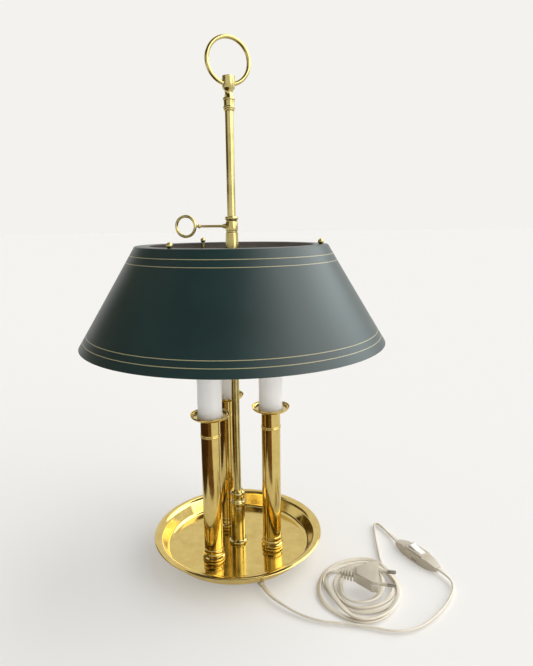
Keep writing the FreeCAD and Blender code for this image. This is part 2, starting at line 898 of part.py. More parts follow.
def make_carriage():
    """The collar that slides on the pole, the nut under the spider, and the thumb screw."""
    bore = size("pole_radius") + size("slide_gap")
    top = size("collar_top")
    barrel = size("collar_radius")
    skirt = size("skirt_radius")
    neck = size("neck_radius")
    seat = arm_top + size("seat_gap")
    foot = arm_top - size("neck_long")
    groove = top - size("sleeve_groove")
    turned_collar = turned(
        "collar_turned",
        [
            (bore, foot),
            (neck, foot),
            (neck, seat),
            (skirt + 1.4, seat),
            (skirt + 1.4, seat + 2.4, skirt + 0.7, 1),
            (skirt, seat + 3.2),
            (barrel, groove - 0.6),
            (barrel - 0.6, groove),
            (barrel - 0.6, groove + 0.9),
            (barrel - 0.1, groove + 1.3),
            (barrel, groove + 2.2),
            (barrel, groove + 9.4),
            (barrel - 0.5, top - 4.2, barrel + 3.4, -1),
            (barrel + 0.3, top - 3.3),
            (barrel + 0.3, top - 0.8, barrel - 1.0, 1),
            (barrel - 0.4, top),
            (bore, top),
        ],
    )
    key_height = top - size("key_below_top")
    boss = document.addObject("Part::Cone", "collar_boss")
    boss.Label = "collar_boss"
    boss.setExpression("Radius1", "3.1")
    boss.setExpression("Radius2", (size("key_radius") + 0.6).formula)
    boss.setExpression("Height", "4.4")
    lay(boss, -(barrel - 0.9), 0, key_height, (-1, 0, 0))
    hole = document.addObject("Part::Cylinder", "collar_thread")
    hole.Label = "collar_thread"
    hole.setExpression("Radius", (size("key_radius") + 0.05).formula)
    hole.setExpression("Height", "20")
    lay(hole, -(size("pole_radius") - 2), 0, key_height, (-1, 0, 0))
    whole = document.addObject("Part::Fuse", "collar_whole")
    whole.Label = "collar_whole"
    whole.Base = turned_collar
    whole.Tool = boss
    collar = document.addObject("Part::Cut", "collar")
    collar.Label = "collar"
    collar.Base = whole
    collar.Tool = hole
    keep(collar)
    nut_top = arm_top - size("arm_thick") - size("seat_gap")
    nut = turned(
        "hub_nut",
        [
            (neck + 0.05, 0),
            (size("hub_nut_radius") - 0.8, 0),
            (size("hub_nut_radius"), 0.8),
            (size("hub_nut_radius"), size("hub_nut_high") - 0.8),
            (size("hub_nut_radius") - 0.8, size("hub_nut_high")),
            (neck + 0.05, size("hub_nut_high")),
        ],
    )
    place(keep(nut), z=nut_top - size("hub_nut_high"))
    shank_radius = size("key_radius")
    wire = size("key_wire") / 2
    ring_middle = size("key_ring_radius") - wire
    start = size("pole_radius") + size("seat_gap")
    bead = size("key_reach") - size("key_ring_radius") - 3.4
    shank = turned(
        "thumb_screw_shank",
        [
            (0, start),
            (shank_radius, start),
            (shank_radius, bead),
            (shank_radius, bead + 2.6, shank_radius - 0.6, 1),
            (shank_radius - 0.3, bead + 3.0),
            (shank_radius + 0.1, size("key_reach") - ring_middle),
            (0, size("key_reach") - ring_middle),
        ],
    )
    lay(shank, 0, 0, key_height, (-1, 0, 0))
    ring = document.addObject("Part::Torus", "thumb_screw_ring")
    ring.Label = "thumb_screw_ring"
    ring.setExpression("Radius1", ring_middle.formula)
    ring.setExpression("Radius2", wire.formula)
    way = math.radians(SIZES["key_turn"] - 90)
    lay(ring, -size("key_reach"), 0, key_height, (math.cos(way), math.sin(way), 0))
    key = document.addObject("Part::Fuse", "thumb_screw")
    key.Label = "thumb_screw"
    key.Base = shank
    key.Tool = ring
    keep(key)


def rounded_path(points):
    """A wire of straight runs and tangent arcs. Each arc is as large as its two runs allow."""
    corners = [FreeCAD.Vector(*p) for p in points]
    edges = []
    radii = []
    at = corners[0]
    for before, corner, after in zip(corners, corners[1:], corners[2:]):
        back = (before - corner).normalize()
        on = (after - corner).normalize()
        half_turn = (math.pi - back.getAngle(on)) / 2
        shorter = min((before - corner).Length, (after - corner).Length)
        away = 0.45 * shorter
        radii.append(away / math.tan(half_turn))
        start = corner + back * away
        finish = corner + on * away
        middle_way = (back + on).normalize()
        to_centre = radii[-1] / math.cos(half_turn)
        middle = corner + middle_way * (to_centre - radii[-1])
        edges.append(Part.LineSegment(at, start).toShape())
        edges.append(Part.Arc(start, middle, finish).toShape())
        at = finish
    edges.append(Part.LineSegment(at, corners[-1]).toShape())
    return Part.Wire(edges), radii


def make_lead(name, points):
    """The flex along a route, as a plain tube of its full width."""
    path, radii = rounded_path(points)
    radius = SIZES["flex"] / 2
    start = FreeCAD.Vector(*points[0])
    ahead = (FreeCAD.Vector(*points[1]) - start).normalize()
    ring = Part.Wire([Part.Circle(start, ahead, radius).toShape()])
    solid = path.makePipeShell([ring], True, False)
    lead = document.addObject("Part::Feature", name)
    lead.Label = name
    lead.Shape = solid
    keep(lead)
    share = solid.Volume / (math.pi * radius * radius * path.Length)
    print(f"{name}: {path.Length:.1f} mm, volume share {share:.4f}")
    print("radii", [round(r, 1) for r in radii])
    return path.Length


def make_switch():
    """The in-line switch: two shells, a rocker between them and two screws."""
    half_long = size("switch_long") / 2
    half_wide = size("switch_width") / 2
    end = size("switch_end") / 2
    middle = size("switch_block_long") / 2
    low = size("switch_half")
    lid = size("switch_lid")
    way = math.radians(SWITCH_AZIMUTH)
    plan = [
        (half_long, -end, 0, 1),
        (half_long, end),
        (0, half_wide, 0, 1),
        (-half_long, end, 0, 1),
        (-half_long, -end),
        (0, -half_wide, 0, 1),
    ]
    base = new_body("switch_base")
    pad(base, outline(new_sketch(base, "switch_base_plan", "XY_Plane"), plan), low, "switch_base_block")
    for side, name in ((1, "front"), (-1, "back")):
        keel = new_sketch(base, f"switch_keel_{name}", "XZ_Plane")
        outline(
            keel,
            [
                (side * (half_long + 1), -1.0),
                (side * (half_long + 1), 3.4),
                (side * (middle + 2), -1.0),
            ],
        )
        pocket(base, keel, size("switch_width") + 2, f"switch_keel_cut_{name}", both=True)
    well = new_sketch(base, "switch_base_well", "XY_Plane", low)
    rocker_half = size("rocker_long") / 2
    room_long = middle - 2.5
    room_wide = half_wide - size("switch_wall") * 1.5
    box = [
        (room_long, -room_wide),
        (room_long, room_wide),
        (-room_long, room_wide),
        (-room_long, -room_wide),
    ]
    outline(well, box)
    pocket(base, well, low - 2.0, "switch_base_hollow", up=False)
    spot = (half_long + middle) / 2 - 1.5
    drilled = new_sketch(base, "switch_base_holes", "XY_Plane", low)
    recess = new_sketch(base, "switch_base_recess", "XY_Plane", 3.15)
    for side in (1, -1):
        circle_at(drilled, side * spot, 0, 1.0)
        circle_at(recess, side * spot, 0, 2.05)
    pocket(base, drilled, low + 1, "switch_base_drilled", up=False)
    pocket(base, recess, 5.0, "switch_base_recessed", up=False)
    cover = new_body("switch_cover")
    pad(cover, outline(new_sketch(cover, "switch_cover_plan", "XY_Plane"), plan), lid, "switch_cover_block")
    for side, name in ((1, "front"), (-1, "back")):
        slope = new_sketch(cover, f"switch_slope_{name}", "XZ_Plane")
        outline(
            slope,
            [
                (side * (half_long + 1), lid + 1),
                (side * (half_long + 1), 1.0),
                (side * (middle + 3), lid + 1),
            ],
        )
        pocket(cover, slope, size("switch_width") + 2, f"switch_slope_cut_{name}", both=True)
    block = new_sketch(cover, "switch_cover_raised", "XY_Plane", lid)
    inset = half_wide - size("switch_wall") / 2
    outline(
        block,
        [
            (middle - 0.5, -inset),
            (middle - 0.5, inset),
            (0.5 - middle, inset),
            (0.5 - middle, -inset),
        ],
    )
    pad(cover, block, size("switch_block"), "switch_cover_block_up")
    hollow = new_sketch(cover, "switch_cover_hollow", "XY_Plane")
    outline(hollow, box)
    roof = lid + size("switch_block") - size("switch_wall")
    pocket(cover, hollow, roof, "switch_cover_hollowed", up=True)
    window = new_sketch(cover, "switch_window", "XY_Plane", lid + size("switch_block"))
    gap = size("rocker_gap")
    outline(
        window,
        [
            (rocker_half + gap, -size("rocker_width") / 2 - gap),
            (rocker_half + gap, size("rocker_width") / 2 + gap),
            (-rocker_half - gap, size("rocker_width") / 2 + gap),
            (-rocker_half - gap, -size("rocker_width") / 2 - gap),
        ],
    )
    pocket(cover, window, 4.0, "switch_window_cut", up=False)
    blind = new_sketch(cover, "switch_cover_holes", "XY_Plane")
    for side in (1, -1):
        circle_at(blind, side * spot, 0, 1.0)
    pocket(cover, blind, 2.0, "switch_cover_drilled", up=True)
    for piece, height in ((base, 0.0), (cover, low + 0.02)):
        piece.Placement = FreeCAD.Placement(
            FreeCAD.Vector(SWITCH_PLACE[0], SWITCH_PLACE[1], 0),
            FreeCAD.Rotation(FreeCAD.Vector(0, 0, 1), SWITCH_AZIMUTH),
        )
        if isinstance(height, Length):
            piece.setExpression("Placement.Base.z", height.formula)
        keep(piece)
    rocker = new_body("switch_rocker")
    top = lid + size("switch_block")
    shape = new_sketch(rocker, "switch_rocker_side", "XZ_Plane")
    outline(
        shape,
        [
            (rocker_half, top - 1.2),
            (rocker_half - 1.0, top + 1.6),
            (0, top + 0.6),
            (1.0 - rocker_half, top + 1.6),
            (-rocker_half, top - 1.2),
            (-3.0, top - 4.2),
            (3.0, top - 4.2),
        ],
    )
    pad(rocker, shape, size("rocker_width"), "switch_rocker_cap", both=True)
    pivot = new_sketch(rocker, "switch_rocker_pivot", "XZ_Plane")
    circle_at(pivot, 0, top - 3.4, 1.0)
    pad(rocker, pivot, room_wide * 2 - 0.3, "switch_rocker_pin", both=True)
    pivot_height = low + 0.02 + top - 3.4
    upright = FreeCAD.Rotation(FreeCAD.Vector(0, 0, 1), SWITCH_AZIMUTH)
    tip = FreeCAD.Rotation(FreeCAD.Vector(0, 1, 0), ROCKER_TILT)
    at_pivot = FreeCAD.Placement(
        FreeCAD.Vector(SWITCH_PLACE[0], SWITCH_PLACE[1], pivot_height.number),
        upright.multiply(tip),
    )
    below = FreeCAD.Placement(FreeCAD.Vector(0, 0, -(top - 3.4).number), FreeCAD.Rotation())
    rocker.Placement = at_pivot.multiply(below)
    keep(rocker)
    screws = []
    for number, along in enumerate((-1, 1), start=1):
        screw = turned(
            f"switch_screw_{number}",
            [(0, 0), (1.9, 0), (1.9, 1.2), (0.9, 1.2), (0.9, low - 1.0), (0, low - 1.0)],
        )
        place(
            screw,
            SWITCH_PLACE[0] + spot * (along * math.cos(way)),
            SWITCH_PLACE[1] + spot * (along * math.sin(way)),
            1.9,
        )
        screws.append(screw)
    group("switch_screws", screws)


def make_plug():
    """The moulded two-pin plug that lies on the coil, leaning on its edge."""
    long = size("plug_long")
    tail = size("plug_tail")
    wide = size("plug_width") / 2
    thick = size("plug_thick") / 2
    body = new_body("plug_moulding")
    waist = size("plug_waist") / 2
    edge = size("plug_edge")
    flare = long * 0.72
    plan = new_sketch(body, "plug_plan", "XZ_Plane")
    outline(
        plan,
        [
            (waist, 0),
            (wide, flare, wide + 14, -1),
            (wide, long),
            (-wide, long),
            (-wide, flare),
            (-waist, 0, -wide - 14, -1),
        ],
    )
    pad(body, plan, thick * 2 - edge * 2, "plug_slab", both=True)
    for side, name in ((1, "front"), (-1, "back")):
        panel = new_sketch(body, f"plug_panel_{name}_plan", "XZ_Plane", (thick - edge) * side)
        outline(
            panel,
            [
                (waist - edge * 0.4, edge * 1.2),
                (wide - edge, flare + edge * 0.6),
                (wide - edge, long),
                (edge - wide, long),
                (edge - wide, flare + edge * 0.6),
                (edge * 0.4 - waist, edge * 1.2),
            ],
        )
        raised = pad(body, panel, edge, f"plug_panel_{name}")
        raised.Reversed = side < 0
    tail_core = new_sketch(body, "plug_tail_core", "XY_Plane")
    circle_at(tail_core, 0, 0, size("rib_core"))
    core = pad(body, tail_core, tail, "plug_tail_pad")
    core.Reversed = True
    for step in range(RIBS):
        at = size("rib_pitch") * (step + 1)
        rib = new_sketch(body, f"plug_rib_{step}_plan", "XY_Plane", -at)
        half_across = waist - size("rib_slim") * step
        half_thick = thick * 0.66 - size("rib_slim") * step * 0.3
        outline(
            rib,
            [
                (half_across, -half_thick),
                (half_across, half_thick),
                (-half_across, half_thick),
                (-half_across, -half_thick),
            ],
        )
        pad(body, rib, size("rib_wide"), f"plug_rib_{step}")
    keep(body)
    body.Label = "plug_body"
    pins = []
    sleeves = []
    for side in (-1, 1):
        name = "left" if side < 0 else "right"
        pin = turned(
            f"plug_pin_{name}",
            [
                (0, 0),
                (size("pin_radius"), 0),
                (size("pin_radius"), size("pin_long") / 2 - 0.8),
                (0, size("pin_long") / 2),
            ],
        )
        sleeve = turned(
            f"plug_pin_sleeve_{name}",
            [
                (0, 0),
                (size("pin_sleeve_radius"), 0),
                (size("pin_sleeve_radius"), size("pin_long") / 2),
                (0, size("pin_long") / 2),
            ],
        )
        pins.append((pin, side, long + size("pin_long") / 2))
        sleeves.append((sleeve, side, long))
    way = math.radians(PLUG_AZIMUTH)
    along = FreeCAD.Vector(math.cos(way), math.sin(way), 0)
    stand = FreeCAD.Rotation(FreeCAD.Vector(0, 0, 1), along)
    lean = FreeCAD.Rotation(along, PLUG_LEAN)
    flat = FreeCAD.Rotation(FreeCAD.Vector(0, 0, 1), PLUG_AZIMUTH)
    upright = FreeCAD.Rotation(
        FreeCAD.Vector(0, -1, 0), FreeCAD.Vector(0, 0, 1), FreeCAD.Vector(1, 0, 0), "ZXY"
    )
    whole = lean.multiply(flat).multiply(upright)
    lowest = wide.number * math.sin(math.radians(PLUG_LEAN)) + thick.number * math.cos(
        math.radians(PLUG_LEAN)
    )
    centre = FreeCAD.Vector(
        PLUG_PLACE[0], PLUG_PLACE[1], SIZES["coil_high"] + 0.25 + lowest
    )
    body.Placement = FreeCAD.Placement(centre, whole)
    for piece, side, out in pins + sleeves:
        offset = FreeCAD.Vector(side * SIZES["pin_spacing"] / 2, 0, out.number)
        piece.Placement = FreeCAD.Placement(centre + whole.multVec(offset), whole)
    group("plug_pins", [p[0] for p in pins])
    group("plug_pin_sleeves", [p[0] for p in sleeves])


def make_coil():
    """The outer shape of the loose coil that the flex lies in."""
    outer = size("coil_radius")
    inner = size("coil_hole")
    high = size("coil_high")
    edge = size("flex") / 2
    coil = turned(
        "cord_coil",
        [
            (outer - edge, 0),
            (outer, edge, outer - edge, 1),
            (outer, high - edge),
            (outer - edge, high, outer - edge, 1),
            (inner + edge, high),
            (inner, high - edge, inner + edge, 1),
            (inner, edge),
            (inner + edge, 0, inner + edge, 1),
        ],
    )
    place(keep(coil), COIL_PLACE[0], COIL_PLACE[1], 0)


def check_and_write():
    """Stops on any failed object, then writes each sub-part to a file of its own."""
    document.recompute()
    for thing in document.Objects:
        if "Invalid" in thing.State or "Error" in thing.State:
            raise RuntimeError(f"{thing.Label} failed: {thing.State}")
    os.makedirs("parts", exist_ok=True)
    for piece in nodes:
        shape = piece.Shape
        if shape.isNull() or not shape.isValid() or not shape.Solids:
            raise RuntimeError(f"{piece.Label} has no valid solid")
        shape.exportStep(os.path.join("parts", f"{piece.Label}.step"))
    print(f"{len(nodes)} sub-parts written")


finial_stud = 3.0
finial_stud_long = 9.0
thread = 1.5
finial_foot = dish_floor + size("pole_long")
shade_top = size("shade_base") + size("shade_high")
arm_top = shade_top - size("arm_drop")

make_foot()
make_dish()
make_pole()
make_finial()
make_lights()
make_shade()
make_spider()
make_carriage()
make_lead("cord_lead", LEAD_IN)
make_switch()
make_lead("cord_to_coil", LEAD_OUT)
make_coil()
make_plug()
check_and_write()
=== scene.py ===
# %% [markdown]
# A bouillotte lamp: a brass dish, three electric candles round a pole, and a painted metal
# shade that slides on the pole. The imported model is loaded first, because it says where every
# piece sits. Blender then gives each piece its finish, and a smooth form where the packed
# facets would show in polished metal.

import math

import bpy
from mathutils import Matrix, Vector
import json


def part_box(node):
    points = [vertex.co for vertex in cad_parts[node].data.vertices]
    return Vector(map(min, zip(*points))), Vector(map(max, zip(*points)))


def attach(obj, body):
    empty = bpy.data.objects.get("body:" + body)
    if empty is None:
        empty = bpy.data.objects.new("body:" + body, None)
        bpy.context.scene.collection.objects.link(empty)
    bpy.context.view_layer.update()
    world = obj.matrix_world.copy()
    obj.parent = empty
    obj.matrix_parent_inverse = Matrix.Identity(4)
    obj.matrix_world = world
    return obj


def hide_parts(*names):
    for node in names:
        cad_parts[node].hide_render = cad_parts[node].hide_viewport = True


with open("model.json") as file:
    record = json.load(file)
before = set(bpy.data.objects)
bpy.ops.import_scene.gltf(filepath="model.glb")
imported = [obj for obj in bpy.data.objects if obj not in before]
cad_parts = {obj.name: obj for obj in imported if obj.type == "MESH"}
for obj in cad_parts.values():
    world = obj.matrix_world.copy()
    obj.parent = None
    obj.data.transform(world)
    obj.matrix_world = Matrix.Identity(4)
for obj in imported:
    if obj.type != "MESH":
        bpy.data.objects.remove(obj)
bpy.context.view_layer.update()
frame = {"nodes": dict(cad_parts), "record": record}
MM = 0.001

# %% [markdown]
# A node's box gives its middle in plan and its lowest and highest point. Turned pieces are
# placed from these, so that they stay where the frame says.

# %% Where a node is


def middle(node):
    """The centre of a node's box in plan, and its lowest and highest point, in metres."""
    low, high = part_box(node)
    return (low.x + high.x) / 2, (low.y + high.y) / 2, low.z, high.z


print("dish", [round(v, 4) for v in middle("dish")])

# %% [markdown]
# The photograph was taken from a little above the shade's top, tilted down by ten degrees. The
# lens and the place come from the rims of dish and shade, whose ellipses give the view. A lens
# shift moves the picture without turning the camera, so upright lines keep their slant.

# %% The camera
CAMERA_PLACE = Vector((0.0, -617.4, 394.8)) * MM
CAMERA_DOWN = math.radians(9.93)
CAMERA_TO_RIGHT = math.radians(3.47)
CAMERA_ROLL = math.radians(0.66)
FOCAL_PIXELS = 548.09
FRAME_HIGH = 666
MIDDLE_LIFT = 13.12
SENSOR = 36.0

camera = bpy.data.objects.new("camera", bpy.data.cameras.new("camera"))
bpy.context.scene.collection.objects.link(camera)
camera.data.sensor_fit = "VERTICAL"
camera.data.sensor_height = SENSOR
camera.data.lens = FOCAL_PIXELS / FRAME_HIGH * SENSOR
camera.data.shift_y = -MIDDLE_LIFT / FRAME_HIGH
camera.data.clip_start = 0.01
camera.matrix_world = (
    Matrix.Translation(CAMERA_PLACE)
    @ Matrix.Rotation(-CAMERA_TO_RIGHT, 4, "Z")
    @ Matrix.Rotation(math.pi / 2 - CAMERA_DOWN, 4, "X")
    @ Matrix.Rotation(-CAMERA_ROLL, 4, "Z")
)
bpy.context.scene.camera = camera
print("lens", round(camera.data.lens, 2), "mm")

# %% [markdown]
# Small helpers. Colours are written as they look on a screen and turned to the linear values
# that the renderer works in. One function adds a node with its settings and its links.

# %% Colour and nodes


def linear(hex_colour):
    """An sRGB colour such as c8a030 as linear red, green, blue and full alpha."""
    parts = [int(hex_colour[i : i + 2], 16) / 255 for i in (0, 2, 4)]
    return [p / 12.92 if p <= 0.04045 else ((p + 0.055) / 1.055) ** 2.4 for p in parts] + [1.0]


def add_node(tree, kind, settings=None, links=None):
    """Adds a node. Settings are properties, or sockets by name; links go to its sockets."""
    node = tree.nodes.new(kind)
    for name, value in (settings or {}).items():
        if hasattr(node, name):
            setattr(node, name, value)
        else:
            node.inputs[name].default_value = value
    for name, source in (links or {}).items():
        tree.links.new(source, node.inputs[name])
    return node


def new_material(name, **settings):
    """A material with a plain shader whose sockets are set by name."""
    material = bpy.data.materials.new(name)
    material.use_nodes = True
    shader = material.node_tree.nodes["Principled BSDF"]
    for socket, value in settings.items():
        shader.inputs[socket.replace("_", " ")].default_value = value
    print("material", name)
    return material, material.node_tree, shader


# %% [markdown]
# No real surface has one flat colour or is perfectly smooth. Two recipes serve most finishes
# here: a colour that drifts between two tones, and a fine bump. Both are noise on the piece's
# own coordinates, and the size of the noise is a real size in millimetres.

# %% Drifting colour and fine bump
BUMP_DEPTH = 0.2 * MM


def drifting(tree, place, patch_mm, dark, light, **noise_settings):
    """Soft patches of two tones, each tone given with its place on the ramp."""
    noise = add_node(
        tree,
        "ShaderNodeTexNoise",
        {"Scale": 1 / (patch_mm * MM), "Detail": 3.0, **noise_settings},
        {"Vector": place},
    )
    tint = add_node(tree, "ShaderNodeValToRGB", links={"Fac": noise.outputs["Fac"]})
    for element, (at, colour) in zip(tint.color_ramp.elements, (dark, light)):
        element.position = at
        element.color = linear(colour)
    return tint.outputs["Color"], noise.outputs["Fac"]


def fine_bump(tree, shader, place, grain_mm, strength, detail=2.0):
    """Grain of a real size that tilts the surface a little."""
    grain = add_node(
        tree,
        "ShaderNodeTexNoise",
        {"Scale": 1 / (grain_mm * MM), "Detail": detail},
        {"Vector": place},
    )
    bump = add_node(
        tree,
        "ShaderNodeBump",
        {"Strength": strength, "Distance": BUMP_DEPTH},
        {"Height": grain.outputs["Fac"]},
    )
    tree.links.new(bump.outputs["Normal"], shader.inputs["Normal"])


# %% [markdown]
# Polished brass is a yellow metal with a fine roughness. Handling leaves soft cloudy patches,
# which are duller as well as darker. The dish and the tubes are lacquered and deeper in
# colour; the pole and its fittings are bare and paler, a little green.

# %% Brass
CLOUD = 14.0
BRASS_GRAIN = 2.5


def brass(name, light, dark, roughness):
    """Polished brass with cloudy handling marks and fine bumps."""
    material, tree, shader = new_material(name, Metallic=1.0)
    place = add_node(tree, "ShaderNodeTexCoord").outputs["Object"]
    tint, cloud = drifting(
        tree, place, CLOUD, (0.32, dark), (0.62, light), Detail=4.0, Roughness=0.6
    )
    tree.links.new(tint, shader.inputs["Base Color"])
    spread = add_node(
        tree,
        "ShaderNodeMapRange",
        {"From Min": 0.3, "From Max": 0.7, "To Min": roughness * 0.7, "To Max": roughness * 1.5},
        {"Value": cloud},
    )
    tree.links.new(spread.outputs["Result"], shader.inputs["Roughness"])
    fine_bump(tree, shader, place, BRASS_GRAIN, 0.03)
    return material


lacquered_brass = brass("lacquered_brass", "dac278", "ceb369", 0.11)
bare_brass = brass("bare_brass", "c9ba7e", "b0a066", 0.16)

# %% [markdown]
# Painted tole is steel sheet with a satin enamel. The outside is a dark blue green with thin
# gold lines drawn round it; the inside is pale paint, coloured a dull warm grey as painted
# shade. The lines are found by height, because on a cone a line round the shade is a height.
# Each is measured along the slant, two from the top edge and two from the bottom edge.

# %% Painted shade
shade_low, shade_high = middle("shade")[2:]
BASE_RADIUS = 169.8
TOP_RADIUS = 106.2
SHADE_TALL = 106.8
SLANT = math.sqrt(1 + ((BASE_RADIUS - TOP_RADIUS) / SHADE_TALL) ** 2)
LINE_WIDTH = 0.6 * MM
LINES_FROM_TOP = (11.0, 19.3)
LINES_FROM_BASE = (16.7, 9.6)
line_heights = [shade_high - d * MM / SLANT for d in LINES_FROM_TOP]
line_heights += [shade_low + d * MM / SLANT for d in LINES_FROM_BASE]
ENAMEL_PATCH = 60
ORANGE_PEEL = 1.6

tole, tree, shader = new_material("satin_enamel_on_steel", Roughness=0.38, IOR=1.5)
place = add_node(tree, "ShaderNodeTexCoord").outputs["Object"]
height = add_node(tree, "ShaderNodeSeparateXYZ", links={"Vector": place}).outputs["Z"]
lines = None
for at in line_heights:
    hit = add_node(tree, "ShaderNodeMath", {"operation": "COMPARE"}, {0: height})
    hit.inputs[1].default_value = at
    hit.inputs[2].default_value = LINE_WIDTH / 2
    if lines is None:
        lines = hit.outputs[0]
    else:
        lines = add_node(
            tree, "ShaderNodeMath", {"operation": "MAXIMUM"}, {0: lines, 1: hit.outputs[0]}
        ).outputs[0]
green, _ = drifting(tree, place, ENAMEL_PATCH, (0.3, "152c2b"), (0.7, "1a3433"))
painted = add_node(
    tree, "ShaderNodeMix", {"data_type": "RGBA"}, {"Factor": lines, "A": green}
)
painted.inputs["B"].default_value = linear("a8a07a")
tree.links.new(painted.outputs["Result"], shader.inputs["Base Color"])
fine_bump(tree, shader, place, ORANGE_PEEL, 0.05, detail=1.0)

# %% [markdown]
# The plain finishes share one recipe: a colour that varies a little in soft patches, and a
# fine bump for moulded skin, felt or cast iron. Each row gives the light and the dark tone,
# the roughness, the size of patch and grain in millimetres, and the strength of the bump.

# %% Plain finishes


def patchy(name, light, dark, roughness, patch_mm, grain_mm, strength, **settings):
    """A finish whose colour drifts between two tones, with a fine bump."""
    material, tree, shader = new_material(name, Roughness=roughness, **settings)
    place = add_node(tree, "ShaderNodeTexCoord").outputs["Object"]
    tint, _ = drifting(tree, place, patch_mm, (0.3, dark), (0.7, light))
    tree.links.new(tint, shader.inputs["Base Color"])
    fine_bump(tree, shader, place, grain_mm, strength)
    return material


# Stoved paint inside the shade: pale, but coloured a dull warm grey as painted shade, so it
# doesn't shine past the mouth.
lining_grey_as_painted_shade = patchy("stoved_lining_painted_shade", "6b6460", "5a5450", 0.6, 40, 1.5, 0.1)
# Card sleeves: matt and nearly white, as paper is.
candle_card = patchy("off_white_candle_card", "fdfcf9", "f8f6f2", 0.5, 25, 1.2, 0.08)
# Iron blacked in a stove: dark and a little rough, with a broad dull sheen.
black_iron = patchy("black_stoved_iron", "1c1b1a", "121110", 0.55, 20, 1.5, 0.3)
# Pressed felt: no sheen at all, and a coarse nap.
base_felt = patchy("pressed_felt", "22261f", "171a15", 0.95, 8, 0.6, 0.6)
# Phenolic lampholders: black, hard and glossy.
phenolic = patchy("black_phenolic", "1a1918", "121212", 0.3, 20, 2, 0.05)
# Zinc plate on rods and nuts: a cool grey metal with clouded patches.
zinc = patchy("zinc_plated_steel", "b9b7ae", "9b9a94", 0.35, 12, 1.5, 0.1, Metallic=1.0)
# Soft PVC on the flex: ivory, with the low sheen of a drawn sheath.
flex_pvc = patchy("ivory_pvc_flex", "eae3d3", "ddd3bf", 0.42, 30, 1.0, 0.06)
# Moulded ABS that has yellowed: beige, with a fine matt skin from the mould.
ivory_abs = patchy("moulded_ivory_plastic", "cfc6b4", "c2b8a4", 0.42, 18, 0.8, 0.12)
# White ABS for the rocker and pin sleeves: brighter and glossier than the shells.
white_abs = patchy("moulded_white_plastic", "f4f3ef", "ecebe6", 0.3, 18, 0.8, 0.06)
# Nickel plate on the plug's pins: a warm grey metal, worn a little dull.
nickel = patchy("nickel_plated_pins", "a9a297", "8f887e", 0.3, 6, 0.8, 0.08, Metallic=1.0)
# Opal glass: milk white with a wet highlight, and nothing shows through it.
opal = patchy("opal_glass", "f7f6f2", "efeee9", 0.12, 30, 2, 0.02, IOR=1.5)

# %% [markdown]
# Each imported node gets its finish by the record's slot.

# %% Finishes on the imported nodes
SLOT_FINISH = {
    "polished_brass": bare_brass,
    "painted_tole": tole,
    # The lining's grey is painted shade on pale paint.
    "painted_steel": lining_grey_as_painted_shade,
    "ivory_sleeve": candle_card,
    "bulb_glass": opal,
    "black_iron": black_iron,
    "felt": base_felt,
    "phenolic": phenolic,
    "zinc_steel": zinc,
    "flex_sheath": flex_pvc,
    "ivory_plastic": ivory_abs,
    "white_plastic": white_abs,
    "nickel_plate": nickel,
}
slot_of = {s["node"]: s["material_slot"] for s in frame["record"]["subparts"]}
body_of = {
    node: body
    for body, members in frame["record"]["behaviour"]["bodies"].items()
    for node in members
}


def give(piece, material):
    """Makes a finish the only one of a piece."""
    piece.data.materials.clear()
    piece.data.materials.append(material)


for name, node in frame["nodes"].items():
    give(node, SLOT_FINISH[slot_of[name]])
print("finished", len(slot_of), "nodes")

# %% [markdown]
# Turned metal is drawn as its half outline and spun round its axis. A vertex is extruded from
# point to point along the outline, as a turner's tool moves, and the spin closes the form.

# %% The lathe
WELD = 0.005 * MM
TURNED_CREASE = math.radians(32)


def only(piece):
    """Selects one piece and makes it active."""
    bpy.ops.object.select_all(action="DESELECT")
    piece.select_set(True)
    bpy.context.view_layer.objects.active = piece


def bow(centre, radius, start, stop, count=8):
    """Points of an arc in the outline, from one angle to another in degrees."""
    angles = [start + (stop - start) * i / count for i in range(count + 1)]
    return [
        (
            centre[0] + radius * math.cos(math.radians(a)),
            centre[1] + radius * math.sin(math.radians(a)),
        )
        for a in angles
    ]


def bead(radius, low, high, proud, count=8):
    """A rounded ring on a shaft, from low to high, standing proud by an amount."""
    half = (high - low) / 2
    angles = [math.pi * i / count for i in range(count + 1)]
    return [(radius + proud * math.sin(a), low + half * (1 - math.cos(a))) for a in angles]


def turned(name, points, steps, centre=(0.0, 0.0), foot=0.0, closed=False):
    """Turns an outline of (radius, height) in millimetres round an upright axis."""
    bpy.ops.object.select_all(action="DESELECT")
    bpy.ops.mesh.primitive_plane_add(size=0.01)
    piece = bpy.context.active_object
    piece.name = name
    bpy.ops.object.mode_set(mode="EDIT")
    bpy.ops.mesh.select_all(action="SELECT")
    bpy.ops.mesh.merge(type="CENTER")
    path = [Vector((centre[0] + r * MM, centre[1], foot + z * MM)) for r, z in points]
    if closed:
        path.append(path[0])
    bpy.ops.transform.translate(value=path[0])
    for here, there in zip(path, path[1:]):
        bpy.ops.mesh.extrude_vertices_move(TRANSFORM_OT_translate={"value": there - here})
    bpy.ops.mesh.select_all(action="SELECT")
    bpy.ops.mesh.spin(
        steps=steps,
        angle=2 * math.pi,
        center=(centre[0], centre[1], 0),
        axis=(0, 0, 1),
    )
    bpy.ops.mesh.select_all(action="SELECT")
    bpy.ops.mesh.remove_doubles(threshold=WELD)
    bpy.ops.mesh.normals_make_consistent(inside=False)
    bpy.ops.object.mode_set(mode="OBJECT")
    only(piece)
    bpy.ops.object.transform_apply(location=True, rotation=True, scale=True)
    bpy.ops.object.shade_smooth_by_angle(angle=TURNED_CREASE)
    print("turned", name, "from", len(points), "points")
    return piece


def stands_for(piece, node, finish=None):
    """Puts a piece in a node's place, on its body and with its slot."""
    give(piece, finish or SLOT_FINISH[slot_of[node]])
    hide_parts(node)
    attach(piece, body_of[node])


def lathe(name, points, node, centre=(0.0, 0.0), foot=0.0, steps=96, closed=True, finish=None):
    """Turns an outline into a piece that replaces a node."""
    piece = turned(name, points, steps, centre, foot, closed)
    stands_for(piece, node, finish)
    return piece


